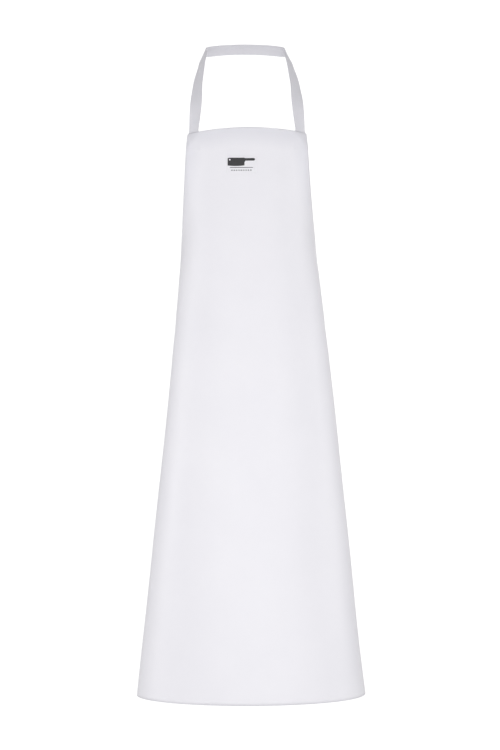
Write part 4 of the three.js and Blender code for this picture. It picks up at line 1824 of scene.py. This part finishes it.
@dataclass
class ChestPrint:
    """A thin transfer film with a generic butcher's mark: a cleaver, a rule and a row of dots."""

    surface: HangingPanel
    finishes: Finishes
    wide: float = 0.062
    high: float = 0.036
    drop: float = 0.060
    shift: float = -0.012
    corner_round: float = 0.004
    clearance: float = 0.00002
    film: float = 0.00005
    tapered_rim: float = 0.003
    ink: float = 0.00008
    ink_cell: float = 0.003  # the ink is cut this often, so that it follows the cloth
    mark_rise: float = 0.0065  # the cleaver lies this far above the film's middle
    rule_drop: float = 0.0065  # and the rule this far below it
    dots_drop: float = 0.0115
    dots_span: float = 0.82  # share of the rule that the row of dots takes up
    blade: tuple[float, float] = (0.035, 0.0162)
    handle: tuple[float, float] = (0.022, 0.0054)
    hole: float = 0.0017
    rule: tuple[float, float] = (0.048, 0.0012)
    dots: int = 9
    dot_radius: float = 0.0013

    def place(self, x: np.ndarray, y: np.ndarray, height: np.ndarray | float) -> np.ndarray:
        """Places on the print.

        Args:
            x: distances to the viewer's right of its middle.
            y: distances above its middle.
            height: how far in front of the cloth.

        Returns:
            The places.
        """
        depth = -np.asarray(height) * np.ones_like(x)
        return self.surface.behind(self.shift + x, self.drop + self.high / 2 - y, depth)

    def sheet(self) -> bpy.types.Object:
        """The film: a rounded sheet that lies on the bib.

        Returns:
            The film, closed all round.
        """
        outline = rounded_outline(self.wide / 2, self.high / 2, self.corner_round)
        shares = np.linspace(0.02, 1, 20)
        flat = (outline[None] * shares[:, None, None]).reshape(-1, 2)
        away = np.repeat(1 - shares, len(outline)) * self.high / 2
        thick = self.film * (0.2 + 0.8 * smooth(away / self.tapered_rim))
        near = self.place(flat[:, 0], flat[:, 1], self.clearance)
        front = self.place(flat[:, 0], flat[:, 1], self.clearance + thick)
        faces = pillow_faces(len(shares), len(outline))
        piece = new_object("print_film_sheet", np.vstack([near, front]), faces)
        return dressed(piece, np.vstack([flat, flat]), np.tile(away, 2), self.finishes.film)

    def _cleaver_outlines(self) -> list[np.ndarray]:
        """Outlines of a cleaver lying level, blade to the left, and of the hole in its blade.

        Returns:
            Two outlines as rows of (x, y).
        """
        (bw, bh), (hw, hh) = self.blade, self.handle
        left, top, neck = -(bw + hw) / 2, bh / 2, -(bw + hw) / 2 + bw
        bulge, nose, step = 0.0012, 0.003, 0.002  # of the cutting edge, the blade's corner and the neck

        def arc(x: float, y: float, radius: float, start: float, end: float, count: int) -> np.ndarray:
            """Points of a round corner about a centre."""
            turns = np.linspace(start, end, count)
            return np.stack([x + radius * np.cos(turns), y + radius * np.sin(turns)], axis=1)

        share = np.linspace(0, 1, 12)
        belly = np.stack([left + bw * share, -top - bulge * np.sin(math.pi * share)], axis=1)
        heel = [(neck, -top + 0.006), (neck + step, top - 0.001 - hh)]
        grip = arc(left + bw + hw - hh / 2, top - 0.001 - hh / 2, hh / 2, -math.pi / 2, math.pi / 2, 10)
        shoulder = [(neck + step, top - 0.001), (neck - 0.001, top)]
        corner = arc(left + nose, top - nose, nose, math.pi / 2, math.pi, 6)
        ring = arc(left + 0.0045, top - 0.0042, self.hole, 0, 2 * math.pi, 20)[:-1]
        return [np.vstack([belly, heel, grip, shoulder, corner]), ring]

    def mark(self) -> bpy.types.Object:
        """The cleaver and the rule, as a thin layer of ink on the film.

        Returns:
            The mark, closed all round.
        """
        curve = bpy.data.curves.new("mark_outline", "CURVE")
        curve.dimensions, curve.fill_mode = "2D", "BOTH"
        (rw, rh), low = self.rule, -self.rule_drop
        rule = np.array([(-rw / 2, low), (rw / 2, low), (rw / 2, low + rh), (-rw / 2, low + rh)])
        shapes = [outline + (0, self.mark_rise) for outline in self._cleaver_outlines()] + [rule]
        for outline in shapes:
            spline = curve.splines.new("POLY")
            spline.points.add(len(outline) - 1)
            for point, (x, y) in zip(spline.points, outline):
                point.co = (x, y, 0, 1)
            spline.use_cyclic_u = True
        holder = linked("mark_outline", curve)
        bpy.context.view_layer.update()
        mesh = bpy.data.meshes.new_from_object(holder.evaluated_get(bpy.context.evaluated_depsgraph_get()))
        bpy.data.objects.remove(holder)
        bm = bmesh.new()
        bm.from_mesh(mesh)
        bmesh.ops.remove_doubles(bm, verts=bm.verts, dist=1e-6)
        for cut_x in np.arange(-self.wide / 2, self.wide / 2, self.ink_cell):
            parts = [*bm.verts, *bm.edges, *bm.faces]
            bmesh.ops.bisect_plane(bm, geom=parts, plane_co=(cut_x, 0, 0), plane_no=(1, 0, 0))
        bmesh.ops.solidify(bm, geom=list(bm.faces), thickness=1.0)
        flat = np.array([v.co for v in bm.verts])
        level = np.where(np.abs(flat[:, 2]) > 0.5, 1.0, 0.0)
        height = self.clearance + self.film + self.ink * level
        for vert, co in zip(bm.verts, self.place(flat[:, 0], flat[:, 1], height)):
            vert.co = co
        bmesh.ops.recalc_face_normals(bm, faces=bm.faces)
        mesh.clear_geometry()
        bm.to_mesh(mesh)
        bm.free()
        mesh.materials.clear()
        mesh.materials.append(self.finishes.ink)
        return linked("print_mark", mesh)

    def dot_row(self) -> bpy.types.Object:
        """The row of dots under the rule.

        Returns:
            The dots as one piece.
        """
        x = np.linspace(-0.5, 0.5, self.dots) * self.rule[0] * self.dots_span
        y = np.full(self.dots, -self.dots_drop)
        middle = self.place(x, y, self.clearance + self.film)
        inward = self.surface.frame(self.shift + x, self.drop + self.high / 2 - y)[3]
        tree = standing_tree("ink_dots", flat_dot, self.finishes.ink)
        return stand_on("print_dots", middle, -inward, tree, {"Radius": self.dot_radius, "Height": self.ink})


# ---- Studio ------------------------------------------------------------------------------------


@dataclass
class Studio:
    """Camera, floor, background and lights."""

    cut: PanelCut
    distance: float = 5.3  # camera to the front of the apron
    picture_height: float = 1.557  # what the picture takes in at the front of the apron
    eye_drop: float = 0.5148  # eye level below the bib's top edge
    centre_shift: float = -0.0026
    sensor: float = 36.0
    floor_drop: float = 0.06
    white: float = 1.1  # brightness of the floor and the background to the camera

    def camera(self) -> None:
        """Place the camera square on to the apron."""
        data = bpy.data.cameras.new("studio_camera")
        data.sensor_width = self.sensor
        data.lens = self.sensor * self.distance / self.picture_height
        data.clip_end = 60
        camera = linked("studio_camera", data)
        camera.location = (self.centre_shift, self.cut.front - self.distance, self.cut.top - self.eye_drop)
        camera.rotation_euler = (math.pi / 2, 0, 0)
        bpy.context.scene.camera = camera

    def floor(self) -> None:
        """A plain pale floor just under the hem."""
        reach, z = 12.0, self.cut.top - self.cut.length - self.floor_drop
        corners = [(-reach, -reach, z), (reach, -reach, z), (reach, reach, z), (-reach, reach, z)]
        floor = new_object("studio_floor", np.array(corners), [(0, 1, 2, 3)])
        material, board = fresh_material("pale_floor")
        matte = board.add("ShaderNodeBsdfDiffuse", Color=(0.9, 0.9, 0.9, 1.0))
        glow = board.add("ShaderNodeEmission", Color=(1.0, 1.0, 1.0, 1.0), Strength=self.white)
        seen = board.add("ShaderNodeLightPath").outputs["Is Camera Ray"]
        mixed = board.add("ShaderNodeMixShader", i0=seen, i1=matte.outputs[0], i2=glow.outputs[0])
        board.add("ShaderNodeOutputMaterial", Surface=mixed.outputs[0])
        floor.data.materials.append(material)

    def background(self, ambient: float = 0.61) -> None:
        """White to the camera, and a weaker soft light to the apron.

        Args:
            ambient: strength of that soft light.
        """
        world = bpy.data.worlds.new("studio_white")
        world.use_nodes = True
        world.node_tree.nodes.clear()
        board = NodeBoard(world.node_tree)
        seen = board.add("ShaderNodeLightPath").outputs["Is Camera Ray"]
        strength = board.spread(seen, 0.0, 1.0, ambient, self.white)
        white = board.add("ShaderNodeBackground", Color=(1.0, 1.0, 1.0, 1.0), Strength=strength)
        board.add("ShaderNodeOutputWorld", Surface=white.outputs[0])
        bpy.context.scene.world = world

    def light(
        self,
        name: str,
        place: Sequence[float],
        target: Sequence[float],
        size: tuple[float, float],
        power: float,
    ) -> None:
        """Hang one soft rectangular light.

        Args:
            name: the light's name.
            place: where it hangs.
            target: the point that it is aimed at.
            size: its width and height.
            power: its power in watts.
        """
        data = bpy.data.lights.new(name, "AREA")
        data.shape, data.size, data.size_y, data.energy = "RECTANGLE", *size, power
        lamp = linked(name, data)
        lamp.location = place
        lamp.rotation_euler = (Vector(target) - Vector(place)).to_track_quat("-Z", "Y").to_euler()

    def build(self) -> None:
        """Put everything but the camera in place."""
        scene = bpy.context.scene
        scene.view_settings.view_transform = "Standard"
        self.floor()
        self.background()
        waist = (0.0, self.cut.front + 0.1, self.cut.top - 0.75)
        self.light("front_softbox", (0.1, -3.4, waist[2] - 0.25), waist, (1.4, 0.45), 36.5)
        self.light("left_softbox", (-3.8, -0.9, waist[2] + 0.1), waist, (1.2, 1.2), 27.5)
        self.light("right_softbox", (3.8, -0.9, waist[2] + 0.1), waist, (1.2, 1.2), 22.5)
        self.light("back_softbox", (0.4, 4.4, waist[2] + 0.5), waist, (2.0, 2.4), 50)


# ---- Putting it together -----------------------------------------------------------------------


@dataclass
class Apron:
    """All pieces of the apron and how each goes with the frame."""

    frame: dict
    layers: Layers = field(default_factory=Layers)
    strip: StripCut = field(default_factory=StripCut)
    hem_ease: float = 0.003  # how much narrower the hem hangs than its solid
    made: list[bpy.types.Object] = field(default_factory=list)

    def __post_init__(self) -> None:
        """Read the frame and solve the panel."""
        lay = self.layers
        low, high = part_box("apron_panel")
        hem_span = high[0] - low[0] - self.hem_ease
        self.cut = PanelCut(front=low[1], top=high[2], length=high[2] - low[2], hem_span=hem_span)
        share = 1 - (lay.inset + self.strip.width / 2) / (self.cut.bib_width / 2)
        weld_foot = float(self.cut.top_edge(share)) + lay.weld_length + lay.margin
        waist_line = self.cut.waist_drop + lay.edge + lay.margin + self.strip.width / 2
        weld_width = lay.inset + self.strip.width + lay.margin
        self.surface = HangingPanel(self.cut, HangDetail(), weld_width, weld_foot, waist_line)
        self.finishes = Finishes()

    def keep(self, piece: bpy.types.Object, body: str, slot: str, *replaced: str) -> bpy.types.Object:
        """Attach a piece to its body unless it carries a blend between two bodies, and hide the frame's nodes
        that it stands for.

        Args:
            piece: the piece.
            body: the body that it rides on.
            slot: not used.
            replaced: the nodes that it stands for.

        Returns:
            The same piece.
        """
        if "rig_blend" not in piece:
            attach(piece, body)
        if replaced:
            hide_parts(*replaced)
        self.made.append(piece)
        LOG.info("%s: %d faces on %s", piece.name, len(piece.data.polygons), body)
        return piece

    def hinge(self, name: str) -> Vector:
        """Where a joint of the frame turns."""
        return Vector(next(joint["pos_m"] for joint in self.frame["joints"] if joint["name"] == name))

    def build_cloth(self) -> None:
        """The panel and the print on it."""
        printed = ChestPrint(self.surface, self.finishes)
        film = self.keep(printed.sheet(), "apron", "print_film", "chest_print")
        mark = self.keep(printed.mark(), "apron", "print_film")
        dots = self.keep(printed.dot_row(), "apron", "print_film")
        panel = self.keep(Cloth(self.surface, self.finishes).build(), "apron", "coated_panel", "apron_panel")
        patches = Patches(self.surface, self.layers, self.strip, self.finishes)
        for side in Side:
            self.keep(patches.corner(side), "apron", "patch", f"corner_patch_{side.label}")
            self.keep(patches.waist(side), "apron", "patch", f"waist_patch_{side.label}")
        self.cut.flat_area()

    def build_neck_strap(self) -> None:
        """The neck strap with its welded ends."""
        hinge = self.hinge("neck_strap_bend")
        strap = NeckStrap(self.surface, self.layers, self.strip, self.finishes, hinge)
        band = strap.build()
        self.keep(band, "neck_loop", "strap", "neck_strap", "neck_strap_end_left", "neck_strap_end_right")
        dots = WeldDots(self.surface, self.layers, self.strip, self.finishes)
        self.keep(dots.build(strap.along, strap.top_drop), "apron", "strap")

    def build_waist_straps(self) -> None:
        """The waist straps, the bow and its hanging ends."""
        low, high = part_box("bow_knot")
        straps = WaistStraps(self.surface, self.layers, self.strip, self.finishes, Vector(low), Vector(high))
        self.keep(straps.knot(), "apron", "strap", "bow_knot")
        self.keep(straps.core(), "apron", "strap")
        for side in Side:
            tie = self.keep(straps.tie(side), "apron", "strap", f"waist_tie_{side.label}")
            loop = self.keep(straps.loop(side), "apron", "strap", f"bow_loop_{side.label}")
            tail = straps.tail(side)
            hinge = self.hinge(f"tail_{side.label}_swing")
            end = hinge - Vector((0, 0, straps.bend_reach))
            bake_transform(tail, "apron", f"tail_{side.label}", start=tuple(hinge), end=tuple(end))
            self.keep(tail, f"tail_{side.label}", "strap", f"tie_tail_{side.label}")


def main() -> None:
    """Build the studio and the apron."""
    logging.basicConfig(level=logging.INFO, format="%(name)s %(message)s")
    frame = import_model()
    apron = Apron(frame)
    studio = Studio(apron.cut)
    studio.camera()
    apron.build_cloth()
    apron.build_neck_strap()
    apron.build_waist_straps()
    studio.build()
    LOG.info("%d pieces made", len(apron.made))


if __name__ == "__main__":
    main()
